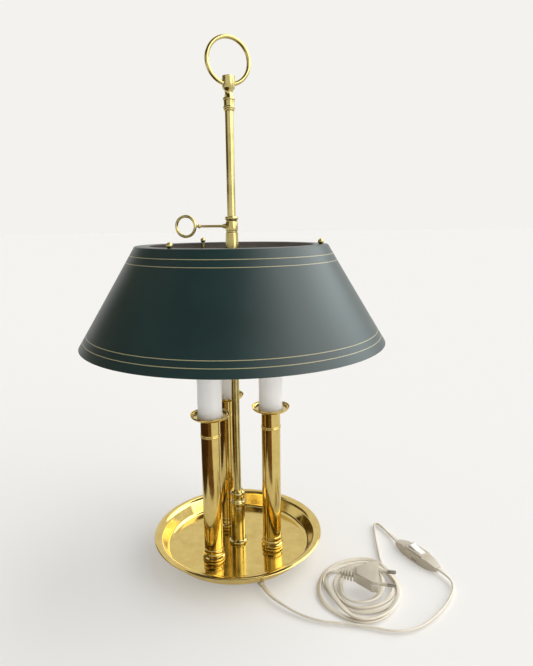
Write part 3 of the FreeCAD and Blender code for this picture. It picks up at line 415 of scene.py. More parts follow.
# %% [markdown]
# The flex is a flat twin cable, 5 mm wide and about half as thick. Its route is close to the one
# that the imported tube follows: the points are control points of one smooth spline, so that no
# bend shows a corner.

# %% The flex
LEAD_IN = [
    (24.7, -76.1, 5.2),
    (30.0, -91.0, 4.6),
    (43.5, -108.0, 3.2),
    (60.0, -122.5, 2.0),
    (80.0, -134.0, 1.8),
    (104.0, -138.6, 1.8),
    (130.0, -145.8, 1.8),
    (151.5, -154.0, 1.8),
    (175.0, -151.0, 1.8),
    (199.0, -134.5, 1.8),
    (219.5, -114.0, 1.8),
    (233.5, -93.0, 2.4),
    (232.5, -76.5, 4.6),
    (226.0, -64.8, 6.0),
]
LEAD_OUT = [
    (196.4, -8.0, 6.0), (194.6, 5.0, 3.8), (191.6, 17.5, 2.0), (187.8, 29.5, 1.8),
    (184.6, 37.0, 1.8), (181.2, 39.8, 1.8), (178.2, 35.6, 1.8), (175.6, 22.2, 1.8),
    (172.6, 6.1, 1.8), (170.0, -10.8, 1.8), (167.6, -27.1, 1.9), (165.5, -42.9, 2.2),
]
FLEX_WIDE = 5.0
FLEX_THICK = 2.6
WAIST = 0.12
LEAN_WAY = Vector((-0.25, -0.75, 0.6)).normalized()


def spline_points(points):
    """Points along the smooth spline through the given control points, in metres."""
    curve = bpy.data.curves.new("route", "CURVE")
    curve.dimensions = "3D"
    curve.resolution_u = 12
    spline = curve.splines.new("NURBS")
    spline.points.add(len(points) - 1)
    for control, place in zip(spline.points, points):
        control.co = (*(v * MM for v in place), 1.0)
    spline.order_u = 3
    spline.use_endpoint_u = True
    holder = bpy.data.objects.new("route", curve)
    mesh = bpy.data.meshes.new_from_object(holder)
    line = [v.co.copy() for v in mesh.vertices]
    bpy.data.objects.remove(holder)
    bpy.data.meshes.remove(mesh)
    bpy.data.curves.remove(curve)
    return line


def flex_section(count=20):
    """The flat cable's section: two cores side by side in one rounded sheath."""
    outline = []
    core = FLEX_THICK / 2
    shift = FLEX_WIDE / 2 - core
    for i in range(count):
        angle = 2 * math.pi * i / count
        side = 1 if math.cos(angle) >= 0 else -1
        across = side * shift * min(1.0, abs(math.cos(angle)) * 3) + core * math.cos(angle)
        waist = WAIST * (1 - min(1.0, abs(math.cos(angle)) * 2.2))
        outline.append((across, (core - waist) * math.sin(angle)))
    return outline


def flat_cord(name, points, lean, roll=None):
    """A flat cable along a route. Lean gives, at a share of the length, how far its width turns
    from lying flat towards LEAN_WAY, and roll adds a turn in radians. Where the cable stands on
    its edge, it is lifted so that it stays on the table."""
    line = spline_points(points)
    section = flex_section()
    verts = []
    last_wide = None
    for index, here in enumerate(line):
        before = line[max(index - 1, 0)]
        after = line[min(index + 1, len(line) - 1)]
        share = index / (len(line) - 1)
        along = (after - before).normalized()
        flat = along.cross(Vector((0, 0, 1))).normalized()
        leaning = (LEAN_WAY - along * LEAN_WAY.dot(along)).normalized()
        if last_wide is not None and flat.dot(last_wide) < 0:
            flat = -flat
        if leaning.dot(flat if last_wide is None else last_wide) < 0:
            leaning = -leaning
        wide = flat.lerp(leaning, lean(share)).normalized()
        if roll:
            wide = Matrix.Rotation(roll(share), 3, along) @ wide
        thick = wide.cross(along).normalized()
        rise_of_side = (abs(wide.z) * FLEX_WIDE + abs(thick.z) * FLEX_THICK) / 2
        centre = here + Vector((0, 0, max(0.0, rise_of_side - FLEX_THICK / 2) * MM))
        last_wide = wide if not roll else flat
        for across, rise in section:
            verts.append(centre + wide * across * MM + thick * rise * MM)
    count = len(section)
    faces = []
    for first in range(0, (len(line) - 1) * count, count):
        for i in range(count):
            j = (i + 1) % count
            faces.append([first + i, first + j, first + count + j, first + count + i])
    faces.append(list(range(count)))
    faces.append([(len(line) - 1) * count + i for i in range(count)])
    mesh = bpy.data.meshes.new(name)
    mesh.from_pydata(verts, [], faces)
    cord = bpy.data.objects.new(name, mesh)
    bpy.context.scene.collection.objects.link(cord)
    only(cord)
    bpy.ops.object.mode_set(mode="EDIT")
    bpy.ops.mesh.select_all(action="SELECT")
    bpy.ops.mesh.normals_make_consistent(inside=False)
    bpy.ops.object.mode_set(mode="OBJECT")
    bpy.ops.object.shade_smooth_by_angle(angle=math.radians(60))
    give(cord, flex_pvc)
    length = sum((b - a).length for a, b in zip(line, line[1:]))
    print(name, "is", round(length, 3), "m long")
    return cord, line, length


def lead_lean(share):
    """Flat where the flex leaves the relief and enters the switch, and leaning between."""
    return max(0.0, min(1.0, share * 7, (1 - share) * 9))


lead, lead_line, lead_length = flat_cord("flex_to_switch", LEAD_IN, lead_lean)
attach(lead, "base")
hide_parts("cord_lead")

# %% [markdown]
# The rest of the flex lies in loose turns of uneven size, and its end climbs to the plug. Every
# turn is a dozen or more listed points of the same spline, because nobody winds a flex in
# circles: the first turn lies widest on the table, the next ones lie against and on it, and the
# last one crosses over the others on its way to the plug.

# %% The coil
FIRST_TURN = [
    (165.2, -55.4, 2.4), (169.4, -64.3, 2.0), (173.7, -72.0, 1.8), (175.4, -82.1, 1.8),
    (172.8, -93.8, 1.8), (166.2, -108.2, 1.8), (157.2, -121.6, 1.8), (145.6, -132.4, 1.8),
    (135.6, -137.3, 1.8), (125.1, -138.7, 2.0), (115.0, -135.8, 2.2), (106.1, -129.6, 2.0),
    (96.2, -120.1, 1.8), (88.4, -109.3, 1.8), (84.9, -96.2, 1.8), (86.0, -82.3, 1.8),
    (90.1, -69.5, 2.0), (97.5, -56.5, 2.2), (106.7, -46.9, 2.4), (117.6, -40.2, 2.6),
    (129.3, -37.4, 2.6), (141.7, -35.8, 2.6), (153.1, -38.1, 2.8), (161.4, -45.5, 3.2),
    (166.4, -57.8, 4.0),
]
SECOND_TURN = [
    (170.4, -69.7, 4.8), (172.9, -80.2, 5.0), (171.8, -93.1, 4.8), (166.1, -105.7, 4.2),
    (157.1, -115.9, 3.2), (146.7, -121.5, 2.4), (136.3, -124.2, 2.0), (124.5, -123.9, 1.8),
    (115.1, -119.6, 1.8), (106.4, -110.6, 1.8), (98.8, -97.8, 1.8), (93.7, -84.9, 2.0),
    (92.8, -73.9, 2.4), (97.3, -64.1, 3.2), (106.5, -55.5, 3.8), (119.4, -48.5, 4.2),
    (132.5, -45.3, 4.6), (145.3, -44.7, 4.8), (155.8, -50.2, 5.0), (162.6, -61.4, 5.4),
]
THIRD_TURN = [
    (167.4, -74.4, 5.6), (168.5, -87.1, 5.8), (164.8, -99.5, 5.6), (155.8, -109.4, 5.0),
    (144.0, -116.5, 4.6), (132.5, -120.5, 4.4), (121.5, -119.7, 3.8), (112.4, -113.6, 2.8),
    (106.3, -102.6, 2.0), (104.4, -88.7, 2.0), (105.6, -75.3, 2.6), (110.8, -64.8, 3.8),
    (120.5, -56.8, 5.2), (132.5, -53.2, 6.2), (144.2, -53.0, 6.8), (153.0, -57.7, 7.0),
    (157.8, -68.0, 7.0),
]
FOURTH_TURN = [
    (158.2, -80.8, 6.4), (154.5, -92.9, 6.0), (147.7, -103.4, 5.8), (138.8, -111.4, 6.0),
    (127.6, -114.9, 6.2), (117.7, -112.3, 5.2), (111.3, -104.0, 4.0), (109.4, -91.9, 3.2),
    (110.7, -79.4, 3.6), (114.9, -69.3, 5.0), (124.4, -60.8, 7.2), (136.7, -57.2, 8.6),
    (149.4, -58.8, 9.4), (158.9, -66.4, 9.8), (166.5, -76.4, 9.8),
]
LAST_TURN = [
    (170.6, -88.0, 9.0), (170.4, -98.1, 8.0), (165.8, -111.1, 6.6), (156.3, -123.3, 5.2),
    (147.1, -130.7, 4.8), (137.5, -135.6, 4.8), (126.7, -137.9, 4.8), (117.6, -135.7, 5.0),
    (110.8, -129.8, 5.2), (105.6, -120.4, 5.6), (101.0, -108.1, 5.6), (97.2, -94.0, 5.6),
    (95.2, -83.2, 7.0), (95.4, -76.7, 10.4), (98.6, -75.4, 14.4), (103.6, -77.6, 17.4),
    (107.4, -80.2, 18.6), (110.8, -81.5, 18.8),
]
coil_route = LEAD_OUT + FIRST_TURN + SECOND_TURN + THIRD_TURN + FOURTH_TURN + LAST_TURN
MOST_ROLL = math.radians(30)
ROLLS = 7.0


def coil_roll(share):
    """The flex rolls a little one way and the other as it lies in its turns."""
    fade = min(1.0, 8 * (1 - share), 6 * share)
    return MOST_ROLL * math.sin(2 * math.pi * ROLLS * share) * fade


def coil_lean(share):
    """The flex leans between the switch and the coil, and lies flat in its turns."""
    return max(0.0, min(1.0, share * 40, (0.14 - share) * 30))


coiled, coil_line, coil_length = flat_cord("flex_to_plug", coil_route, coil_lean, coil_roll)
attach(coiled, "base")
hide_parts("cord_to_coil", "cord_coil")

# %% [markdown]
# The dish is spun from one round of sheet: a flat floor, a leaning wall and a lip that rolls
# over. The outline runs along the underside, round the half-round edge and back on top, so the
# sheet has its real thickness everywhere.

# %% The dish
dish_low = middle("dish")[2]
SHEET = 1.2
HOLE = 4.1
FLAT = 40
FLOOR = 80.5
CORNER = 6.5
LIP_CENTRE = (96.76, 11.35)
LIP = 6.27
# The way from the lip's centre to the rounded edge, across and up.
TO_EDGE = (0.434, 0.901)
edge_x = LIP_CENTRE[0] + TO_EDGE[0] * (LIP + SHEET / 2)
edge_z = LIP_CENTRE[1] + TO_EDGE[1] * (LIP + SHEET / 2)
dish_outline = (
    [(HOLE, 0), (FLAT, 0)]
    + bow((FLOOR, CORNER), CORNER, -90, -25)
    + bow(LIP_CENTRE, LIP, 155, 64, 12)
    + bow((edge_x, edge_z), SHEET / 2, -116, 64, 6)[1:-1]
    + bow(LIP_CENTRE, LIP + SHEET, 64, 155, 12)
    + bow((FLOOR, CORNER), CORNER - SHEET, -25, -90)
    + [(FLAT, SHEET), (HOLE, SHEET)]
)
lathe("brass_dish", dish_outline, "dish", foot=dish_low, steps=160, finish=lacquered_brass)

# %% [markdown]
# The three candle lights are the same, so each piece is turned at each light's place. The tube
# has turned rings at its foot and near its top, the pan is pressed sheet with an upright rim,
# and the card sleeve flares where it sits in the pan.

# %% The candle lights
TUBE = 11.0
TUBE_INSIDE = 10.0
PAN_HOLE = 5.1
PAN_SHEET = 0.8
RIM = 22.2
RIM_TOP = 4.5
PAN_FLAT = TUBE + 2
PAN_SAG = 34.0
RIM_CENTRE = (17.0, 4.9)
RIM_BEND = 5.1
SLEEVE = 13.5
SLEEVE_INSIDE = 12.5
for number in (1, 2, 3):
    x, y, low, high = middle(f"candle_tube_{number}")
    tall = (high - low) / MM
    tube_outline = (
        [(TUBE_INSIDE, 0)]
        + bead(TUBE + 1.6, 0.0, 3.4, 0.5, 8)
        + [(TUBE + 0.4, 4.2), (TUBE + 0.2, 5.4)]
        + bead(TUBE + 0.4, 5.8, 8.2, 0.9, 6)
        + [(TUBE, 9.0), (TUBE, 11.4)]
        + bead(TUBE, 11.6, 13.6, 0.8, 6)
        + [(TUBE, 30.0), (TUBE, tall - 40)]
        + bead(TUBE, tall - 22.0, tall - 20.2, 0.55, 6)
        + bead(TUBE, tall - 20.2, tall - 18.4, 0.55, 6)
        + [(TUBE, tall), (TUBE_INSIDE, tall)]
    )
    tube_node = f"candle_tube_{number}"
    lathe(f"brass_tube_{number}", tube_outline, tube_node, (x, y), low, 64, finish=lacquered_brass)
    x, y, low, _ = middle(f"candle_pan_{number}")
    pan_outline = (
        [(PAN_HOLE, 0), (PAN_FLAT, 0)]
        + bow((PAN_FLAT, PAN_SAG), PAN_SAG, -88, -80.5, 4)
        + bow(RIM_CENTRE, RIM_BEND, -62, -8, 8)
        + [(RIM - 0.1, RIM_TOP), (RIM - 0.7, RIM_TOP)]
        + bow(RIM_CENTRE, RIM_BEND - PAN_SHEET, -8, -62, 8)
        + bow((PAN_FLAT, PAN_SAG), PAN_SAG - PAN_SHEET, -80.5, -88, 4)
        + [(PAN_FLAT, PAN_SHEET), (PAN_HOLE, PAN_SHEET)]
    )
    pan_node = f"candle_pan_{number}"
    lathe(f"drip_pan_{number}", pan_outline, pan_node, (x, y), low, 72, finish=lacquered_brass)
    x, y, low, high = middle(f"candle_sleeve_{number}")
    tall = (high - low) / MM
    sleeve_outline = [
        (SLEEVE_INSIDE, 0), (14.1, 0), (14.3, 0.3), (14.3, 1.6), (13.9, 3.6), (13.6, 6.2),
        (SLEEVE, 9.5), (SLEEVE, 40), (SLEEVE, tall - 0.5), (13.0, tall), (SLEEVE_INSIDE, tall),
    ]
    lathe(f"candle_{number}", sleeve_outline, f"candle_sleeve_{number}", (x, y), low, 64)

# %% [markdown]
# The shade is one wall of sheet with its flat top ring, and the ring's edge is folded in a small
# arc. Its outside takes the enamel and its inside the lining, whose grey is painted shade, so the
# faces that look inwards or down get the second finish.

# %% The shade
tall = (shade_high - shade_low) / MM
MOUTH = 91.0
WALL = 0.9
EDGE = 1.6
BREAK = 0.2
shade_outline = (
    [(BASE_RADIUS, 0.35)]
    + [
        (BASE_RADIUS - (BASE_RADIUS - TOP_RADIUS - WALL) * s, (tall - EDGE) * s)
        for s in (0.25, 0.5, 0.75)
    ]
    + bow((TOP_RADIUS - EDGE + WALL, tall - EDGE), EDGE, 18, 90, 6)
    + [(MOUTH + BREAK, tall), (MOUTH, tall - BREAK)]
    + [(MOUTH, tall - WALL + BREAK), (MOUTH + BREAK, tall - WALL)]
    + [(TOP_RADIUS - EDGE - 0.6, tall - WALL)]
    + [(BASE_RADIUS - WALL * SLANT, 0.0), (BASE_RADIUS - 0.4, 0.0)]
)
shade = lathe("tole_shade", shade_outline, "shade", foot=shade_low, steps=192)
# The second finish is the lining, whose grey is painted shade.
shade.data.materials.append(lining_grey_as_painted_shade)
LOOKS_IN = -0.2
LOOKS_DOWN = -0.9
for face in shade.data.polygons:
    out = Vector((face.center.x, face.center.y, 0)).normalized()
    if face.normal.dot(out) < LOOKS_IN or face.normal.z < LOOKS_DOWN:
        face.material_index = 1

# %% [markdown]
# The pole, its socket and the finial are turned from rod. The pole is thinner at both ends, for
# the threads that go through the dish and into the finial. The socket's rings and the finial's
# drum are beads and hollows, each drawn as a turner would cut them.

# %% The column
x, y, low, high = middle("pole")
POLE = 4.64
STUD = 4.0
TOP_STUD = 3
TOP_STUD_LONG = 9
floor_at = (dish_low + SHEET * MM - low) / MM
tall = (high - low) / MM
shoulder = tall - TOP_STUD_LONG
pole_outline = [
    (0, 0), (STUD, 0), (STUD, floor_at), (POLE, floor_at), (POLE, 200), (POLE, 400),
    (POLE, shoulder), (TOP_STUD, shoulder), (TOP_STUD, tall), (0, tall),
]
lathe("brass_pole", pole_outline, "pole", (x, y), low, 48, closed=False)
x, y, low, high = middle("column_socket")
tall = (high - low) / MM
BODY = 8.45
socket_outline = (
    [(4.7, 0)]
    + bead(BODY + 2.2, 0, 3.2, 0.7)
    + [(BODY + 0.6, 3.8), (BODY, 4.6), (BODY, 20), (BODY, tall - 20)]
    + [(BODY - 0.3, tall - 18.6)]
    + bead(BODY - 0.2, tall - 18.0, tall - 14.0, 0.75)
    + [(BODY - 0.9, tall - 13.0), (BODY - 1.25, tall - 11.4)]
    + [(BODY - 1.35, tall - 9.6), (BODY - 1.0, tall - 7.4)]
    + bead(BODY - 0.5, tall - 6.2, tall - 1.8, 0.7)
    + [(BODY - 1.0, tall - 1.2), (BODY - 1.8, tall), (4.7, tall)]
)
lathe("brass_socket", socket_outline, "column_socket", (x, y), low, 64)
x, y, low, _ = middle("finial")
finial_outline = (
    [(0, 9.1), (3.05, 9.1), (3.05, 0), (5.2, 0), (5.75, 0.9), (5.75, 1.8)]
    + bead(5.75, 2.0, 5.0, 0.65)
    + [(5.65, 6.4), (5.55, 8.0), (5.65, 9.6)]
    + bead(5.75, 10.8, 13.8, 0.65)
    + [(5.0, 15.0), (4.3, 16.6), (4.15, 18.4), (4.5, 20.2), (5.6, 21.8), (6.5, 22.8), (6.75, 23.4)]
    + [(6.75, 35.3), (6.55, 35.6), (6.2, 35.7), (0, 35.7)]
)
lathe("brass_finial", finial_outline, "finial", (x, y), low, 48, closed=False)

# %% [markdown]
# A torus is a ring of wire. The carrying ring stands in the finial's drum, turned a little, and
# the small one is the head of the thumb screw.

# %% The rings
RING_TURN = math.radians(21.0)
RING = 26.0
RING_WIRE = 4.6


def wire_ring(name, centre, outer, wire, turn):
    """A ring of round wire that stands upright, turned about the vertical."""
    bpy.ops.object.select_all(action="DESELECT")
    bpy.ops.mesh.primitive_torus_add(
        location=centre,
        rotation=(math.pi / 2, 0, turn),
        major_segments=96,
        minor_segments=24,
        major_radius=(outer - wire / 2) * MM,
        minor_radius=wire / 2 * MM,
    )
    ring = bpy.context.active_object
    ring.name = name
    bpy.ops.object.transform_apply(location=True, rotation=True, scale=True)
    bpy.ops.object.shade_smooth()
    print("ring", name, "of", wire, "mm wire")
    return ring


x, y, low, high = middle("finial_ring")
ring_middle = (x, y, (low + high) / 2)
ring = wire_ring("carrying_ring", ring_middle, RING, RING_WIRE, RING_TURN)
stands_for(ring, "finial_ring")

# %% [markdown]
# The carriage is the turned collar that slides on the pole, with a small cone on its side where
# the thumb screw goes in, and a round nut that holds the spider from below.

# %% The carriage


def turned_aside(name, points, turn, place, steps=48):
    """Turns an outline of (radius, length) and lays its axis along a direction at a place."""
    piece = turned(name, points, steps)
    piece.matrix_world = Matrix.Translation(place) @ turn
    only(piece)
    bpy.ops.object.transform_apply(location=True, rotation=True, scale=True)
    return piece


def joined(pieces, name):
    """Several meshes as one object."""
    bpy.ops.object.select_all(action="DESELECT")
    for piece in pieces:
        piece.select_set(True)
    bpy.context.view_layer.objects.active = pieces[0]
    bpy.ops.object.join()
    pieces[0].name = name
    return pieces[0]


low = middle("collar")[2]
BARREL = 6.9
BORE = 4.7
SPIGOT = 6.3
KEY_AT = 45.5
collar_outline = (
    [(BORE, 0), (SPIGOT, 0), (SPIGOT, 11.3), (8.2, 11.3)]
    + bead(8.3, 11.3, 13.8, 0.75)
    + [(7.65, 14.5), (7.3, 24.0), (BARREL, 38.3), (6.2, 38.9), (6.2, 39.9), (6.8, 40.2)]
    + [(BARREL, 41.1), (BARREL, 47.9), (6.5, 49.2), (6.3, 50.4), (6.4, 51.5), (7.0, 52.5)]
    + bead(7.0, 52.7, 55.2, 0.4)
    + [(6.6, 55.9), (BORE, 55.9)]
)
barrel = turned("collar_barrel", collar_outline, 72, foot=low, closed=True)
to_left = Matrix.Rotation(-math.pi / 2, 4, "Y")
key_height = low + KEY_AT * MM
boss = turned_aside(
    "collar_boss",
    [(0, 0), (3.1, 0), (3.0, 1.0), (2.2, 4.1), (2.0, 4.4), (0, 4.4)],
    to_left,
    Vector((-6.0 * MM, 0, key_height)),
)
stands_for(joined([barrel, boss], "brass_collar"), "collar")
x, y, low, _ = middle("hub_nut")
nut_outline = [
    (6.35, 0), (9.2, 0), (9.8, 0.3), (10, 0.9), (10, 4.1), (9.8, 4.7), (9.2, 5), (6.35, 5),
]
lathe("brass_hub_nut", nut_outline, "hub_nut", (x, y), low, 64)

# %% [markdown]
# The thumb screw is a thin turned shank with a bead, and a ring of wire to hold it by.

# %% The thumb screw
shank_outline = (
    [(0, 4.94), (1.45, 4.94), (1.42, 20.0), (1.4, 33.6)]
    + bead(1.45, 34.4, 37.0, 0.95)
    + [(1.2, 37.4), (1.5, 39.6), (0, 39.6)]
)
HEAD_AT = (-50.5 * MM, 0, key_height)
HEAD = 12.65
HEAD_WIRE = 3.2
HEAD_TURN = math.radians(-19.0)
shank = turned_aside("shank", shank_outline, to_left, Vector((0, 0, key_height)), 32)
key_ring = wire_ring("key_ring", HEAD_AT, HEAD, HEAD_WIRE, HEAD_TURN)
stands_for(joined([shank, key_ring], "brass_thumb_screw"), "thumb_screw")

# %% [markdown]
# Three ball nuts hold the shade on the studs of the spider. Each stud is turned with a shoulder
# between two thinner ends, and each ball is flat where it sits on the shade's top ring.

# %% The ball nuts
STUD_CIRCLE = 98.4
FIRST_STUD = 112.0
BALL = 3.3
STUD_END = 1.5
STUD_BODY = 2.6
nut_low = middle("ball_nuts")[2]
post_low, post_high = middle("shade_posts")[2:]
tall = (post_high - post_low) / MM
ball_outline = [(0, 0), (BALL * 0.51, 0)] + bow((0, BALL * 0.86), BALL, -59, 90, 14)
post_outline = [
    (0, 0), (STUD_END, 0), (STUD_END, 4.2), (STUD_BODY, 4.2),
    (STUD_BODY, 17.3), (STUD_END, 17.3), (STUD_END, tall), (0, tall),
]
balls = []
posts = []
for number in range(3):
    angle = math.radians(FIRST_STUD + 120 * number)
    place = Vector((STUD_CIRCLE * MM * math.cos(angle), STUD_CIRCLE * MM * math.sin(angle), 0))
    place.z = nut_low
    balls.append(turned_aside(f"ball_{number}", ball_outline, Matrix(), place, 40))
    place.z = post_low
    posts.append(turned_aside(f"post_{number}", post_outline, Matrix(), place, 32))
stands_for(joined(balls, "brass_ball_nuts"), "ball_nuts")
stands_for(joined(posts, "brass_shade_studs"), "shade_posts")

# %% [markdown]
# Each bulb is a blown candle shape in opal glass on a brass screw cap. The cap's faces take the
# metal, and the thread is a row of shallow beads.

# %% The bulbs
CAP = 6.9
CAP_LONG = 22.0
CAP_EDGE = 0.4
THREAD_FOOT = 6.0
THREAD_PITCH = 3.6
RIDGE = 3.4
GLASS = [
    (8.4, 1.2), (8.6, 5), (9.4, 10), (12.0, 16), (15.2, 22), (17.1, 28), (17.5, 33), (17.0, 39),
    (15.2, 46), (12.4, 53), (9.0, 60), (5.8, 66.5), (3.4, 71.5), (2.0, 74.6),
]
thread = []
for ridge in range(4):
    foot = THREAD_FOOT + THREAD_PITCH * ridge
    thread += bead(CAP - 0.5, foot, foot + RIDGE, 0.5, 6)
cap = [(0, 0), (2.6, 0.2), (3.4, 1.6), (CAP - 0.6, 4.6)] + thread + [(CAP - 0.4, CAP_LONG)]
glass = [(r, CAP_LONG + z) for r, z in GLASS]
for number in (1, 2, 3):
    node = f"bulb_{number}"
    x, y, low, high = middle(node)
    tall = (high - low) / MM
    outline = cap + glass + [(0.9, tall - 0.3), (0, tall)]
    bulb = lathe(f"candle_{node}", outline, node, (x, y), low, 48, closed=False, finish=opal)
    bulb.data.materials.append(bare_brass)
    for face in bulb.data.polygons:
        if face.center.z < low + (CAP_LONG + CAP_EDGE) * MM:
            face.material_index = 1

# %% [markdown]
# Moulded plastic has no sharp edge: every corner has the radius of the tool that cut the mould.
# A copy of each packed form is merged, its flat faces are dissolved to whole ones, and a bevel
# rounds the edges.

# %% Moulded pieces
FACET_WELD = 0.002 * MM
FLAT_ENOUGH = math.radians(1.0)
SHARP_EDGE = math.radians(24)
MOULDED_CREASE = math.radians(38)


def softened(name, node, radius, segments=3, finish=None, cut=None):
    """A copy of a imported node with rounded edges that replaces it, less what a cutter takes."""
    source = frame["nodes"][node]
    piece = source.copy()
    piece.data = source.data.copy()
    piece.name = name
    bpy.context.scene.collection.objects.link(piece)
    only(piece)
    bpy.ops.object.mode_set(mode="EDIT")
    bpy.ops.mesh.select_all(action="SELECT")
    bpy.ops.mesh.remove_doubles(threshold=FACET_WELD)
    bpy.ops.mesh.dissolve_limited(angle_limit=FLAT_ENOUGH)
    bpy.ops.object.mode_set(mode="OBJECT")
    if cut is not None:
        hollow = piece.modifiers.new("hollow", "BOOLEAN")
        hollow.object = cut
        hollow.operation = "DIFFERENCE"
        hollow.solver = "EXACT"
        bpy.ops.object.modifier_apply(modifier=hollow.name)
    rounding = piece.modifiers.new("rounding", "BEVEL")
    rounding.width = radius * MM
    rounding.segments = segments
    rounding.limit_method = "ANGLE"
    rounding.angle_limit = SHARP_EDGE
    rounding.harden_normals = False
    bpy.ops.object.modifier_apply(modifier=rounding.name)
    bpy.ops.object.shade_smooth_by_angle(angle=MOULDED_CREASE)
    stands_for(piece, node, finish)
    print("softened", name, "by", radius, "mm")


softened("plug_moulding", "plug_body", 0.75)

# %% [markdown]
# The switch's lower shell has a shallow oval recess in the side that faces the camera. A squashed
# cylinder laid across the wall is the cutter, and a boolean takes its shape away before the
# edges are rounded.

# %% The switch
RECESS = (205.3, -42.2, 4.0)
RECESS_LONG = 8.4
RECESS_TALL = 2.8
CUTTER_LONG = 3
SWITCH_AZIMUTH = math.radians(-62.4)
bpy.ops.object.select_all(action="DESELECT")
bpy.ops.mesh.primitive_cylinder_add(
    vertices=32,
    radius=0.5,
    depth=1.0,
    location=tuple(v * MM for v in RECESS),
    rotation=(math.pi / 2, 0, SWITCH_AZIMUTH),
)
oval = bpy.context.active_object
oval.scale = (RECESS_LONG * MM, RECESS_TALL * MM, CUTTER_LONG * MM)
softened("switch_lower_shell", "switch_base", 0.4, cut=oval)
bpy.data.objects.remove(oval)
softened("switch_upper_shell", "switch_cover", 0.45)
softened("switch_rocker_cap", "switch_rocker", 0.35)

# %% [markdown]
# The spider is bent steel strip, black from the stove, and the relief is a small moulding where
# the flex leaves the foot. Both have finer edges than the plug, so two segments are enough.

# %% The spider and the relief
softened("steel_spider", "shade_spider", 0.3, 2, black_iron)
softened("flex_relief", "cord_relief", 0.25, 2)

# %% [markdown]
# The light is a soft, pale studio. The world is plain grey light for the pieces, and shows the
# background's own colour to the camera and in reflections. A wide sun stands high on the right
# and a little behind, as the shadows in the photograph fall to the left, and a weaker one
# stands low in front on the right and lifts the sleeves under the shade.

# %% Light
BACKGROUND = "f4f2ee"
WORLD_LIGHT = 0.44


def shown_rays(tree):
    """One for rays from the camera, in reflections and through glass, and nought for others."""
    ray = add_node(tree, "ShaderNodeLightPath")
    first = add_node(
        tree,
        "ShaderNodeMath",
        {"operation": "MAXIMUM"},
        {0: ray.outputs["Is Camera Ray"], 1: ray.outputs["Is Glossy Ray"]},
    )
    shown = add_node(
        tree,
        "ShaderNodeMath",
        {"operation": "MAXIMUM"},
        {0: first.outputs[0], 1: ray.outputs["Is Transmission Ray"]},
    )
    return shown.outputs[0]


def soft_sun(name, azimuth, elevation, strength, angle):
    """Parallel light from a direction, softened by the sun's angle."""
    lamp = bpy.data.objects.new(name, bpy.data.lights.new(name, "SUN"))
    bpy.context.scene.collection.objects.link(lamp)
    lamp.data.energy = strength
    lamp.data.angle = math.radians(angle)
    a, e = math.radians(azimuth), math.radians(elevation)
    toward = Vector((math.cos(a) * math.cos(e), math.sin(a) * math.cos(e), math.sin(e)))
    lamp.rotation_euler = toward.to_track_quat("Z", "Y").to_euler()
    print("sun", name, "at", azimuth, elevation)


world = bpy.data.worlds.new("studio")
world.use_nodes = True
bpy.context.scene.world = world
tree = world.node_tree
tree.nodes.clear()
seen = add_node(tree, "ShaderNodeBackground", {"Color": linear(BACKGROUND), "Strength": 1.0})
lit = add_node(tree, "ShaderNodeBackground", {"Color": linear("fbfcfd"), "Strength": WORLD_LIGHT})
blend = add_node(
    tree,
    "ShaderNodeMixShader",
    links={0: shown_rays(tree), 1: lit.outputs[0], 2: seen.outputs[0]},
)
add_node(tree, "ShaderNodeOutputWorld", links={"Surface": blend.outputs[0]})
soft_sun("window", 16, 48, 1.98, 66)
soft_sun("room", -38, 18, 1.25, 50)

# %% [markdown]
# The floor is pale paper. Sunlight has no falloff, so it has one even tone up to the horizon and
# meets the background there. A part of it glows in the background's colour, only for rays that
# show it, which keeps the shadows as light as they are in the photograph.

# %% The floor
SHADOW_LIFT = 0.36
bpy.ops.object.select_all(action="DESELECT")
bpy.ops.mesh.primitive_plane_add(size=60)
floor = bpy.context.active_object
floor.name = "floor"
paper, tree, shader = new_material("pale_paper", Roughness=1.0)
shader.inputs["Base Color"].default_value = linear(BACKGROUND)
shader.inputs["Specular IOR Level"].default_value = 0.0
share = add_node(tree, "ShaderNodeMath", {"operation": "MULTIPLY"}, {0: shown_rays(tree)})
share.inputs[1].default_value = SHADOW_LIFT
glow = add_node(tree, "ShaderNodeEmission", {"Color": linear(BACKGROUND), "Strength": 1.0})
even = add_node(
    tree,
    "ShaderNodeMixShader",
    links={0: share.outputs[0], 1: shader.outputs[0], 2: glow.outputs[0]},
)
tree.links.new(even.outputs[0], tree.nodes["Material Output"].inputs["Surface"])
give(floor, paper)

# %% [markdown]
# A photographer sets dark cloth round polished metal, because brass that mirrors only a white
# room looks like plastic. One cloth hangs over the camera, one on the left, and two lie on the
# table for the tubes to mirror. Only reflections see them, and they throw no shadow.

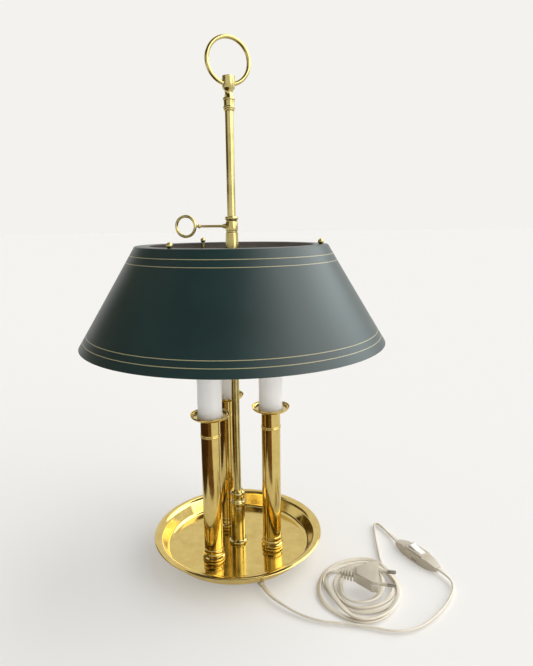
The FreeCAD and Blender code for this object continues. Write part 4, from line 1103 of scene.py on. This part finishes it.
# %% Dark cloth
ON_THE_TABLE = 0.0004
UPRIGHT = (math.pi / 2, 0, math.pi / 2)
LEVEL = (0, 0, 0)
for name, place, turn, wide, tall, colour in (
    ("cloth_overhead", (-0.9, -1.3, 1.9), LEVEL, 2.6, 2.4, "3a352a"),
    ("cloth_on_the_left", (-2.0, 0.4, 1.25), UPRIGHT, 3.4, 1.5, "5a5240"),
    ("cloth_on_the_table", (-0.69, -0.36, ON_THE_TABLE), LEVEL, 0.96, 1.5, "4a3220"),
    ("cloth_in_front", (-0.07, -0.66, ON_THE_TABLE), LEVEL, 0.28, 0.9, "74563a"),
):
    paint, tree, shader = new_material(name, Roughness=1.0)
    shader.inputs["Base Color"].default_value = linear(colour)
    shader.inputs["Specular IOR Level"].default_value = 0.0
    bpy.ops.object.select_all(action="DESELECT")
    bpy.ops.mesh.primitive_plane_add(size=1, location=place, rotation=turn)
    cloth = bpy.context.active_object
    cloth.name = name
    cloth.scale = (wide, tall, 1)
    give(cloth, paint)
    cloth.visible_camera = False
    cloth.visible_shadow = False
    cloth.visible_diffuse = False
    cloth.visible_transmission = False

# %% [markdown]
# The satin of the enamel shows only where something bright is mirrored in it, here a tall window
# on the right. It reaches the object as a reflection and adds no light to the floor.

# %% Window glow
GLOW_PLACE = Vector((1.9, 0.55, 1.25))
GLOW_AIM = Vector((0, 0, 0.3))
glow_lamp = bpy.data.objects.new("window_glow", bpy.data.lights.new("window_glow", "AREA"))
bpy.context.scene.collection.objects.link(glow_lamp)
glow_lamp.data.shape = "RECTANGLE"
glow_lamp.data.size = 1.5
glow_lamp.data.size_y = 1.3
glow_lamp.data.energy = 10
glow_lamp.data.color = (0.84, 0.97, 1.0)
glow_lamp.location = GLOW_PLACE
glow_lamp.rotation_euler = (GLOW_PLACE - GLOW_AIM).to_track_quat("Z", "Y").to_euler()
glow_lamp.visible_diffuse = False
bpy.context.scene.view_settings.view_transform = "Standard"
print("glow from", tuple(GLOW_PLACE))

# %% [markdown]

# %% [markdown]

# %% The end
import json
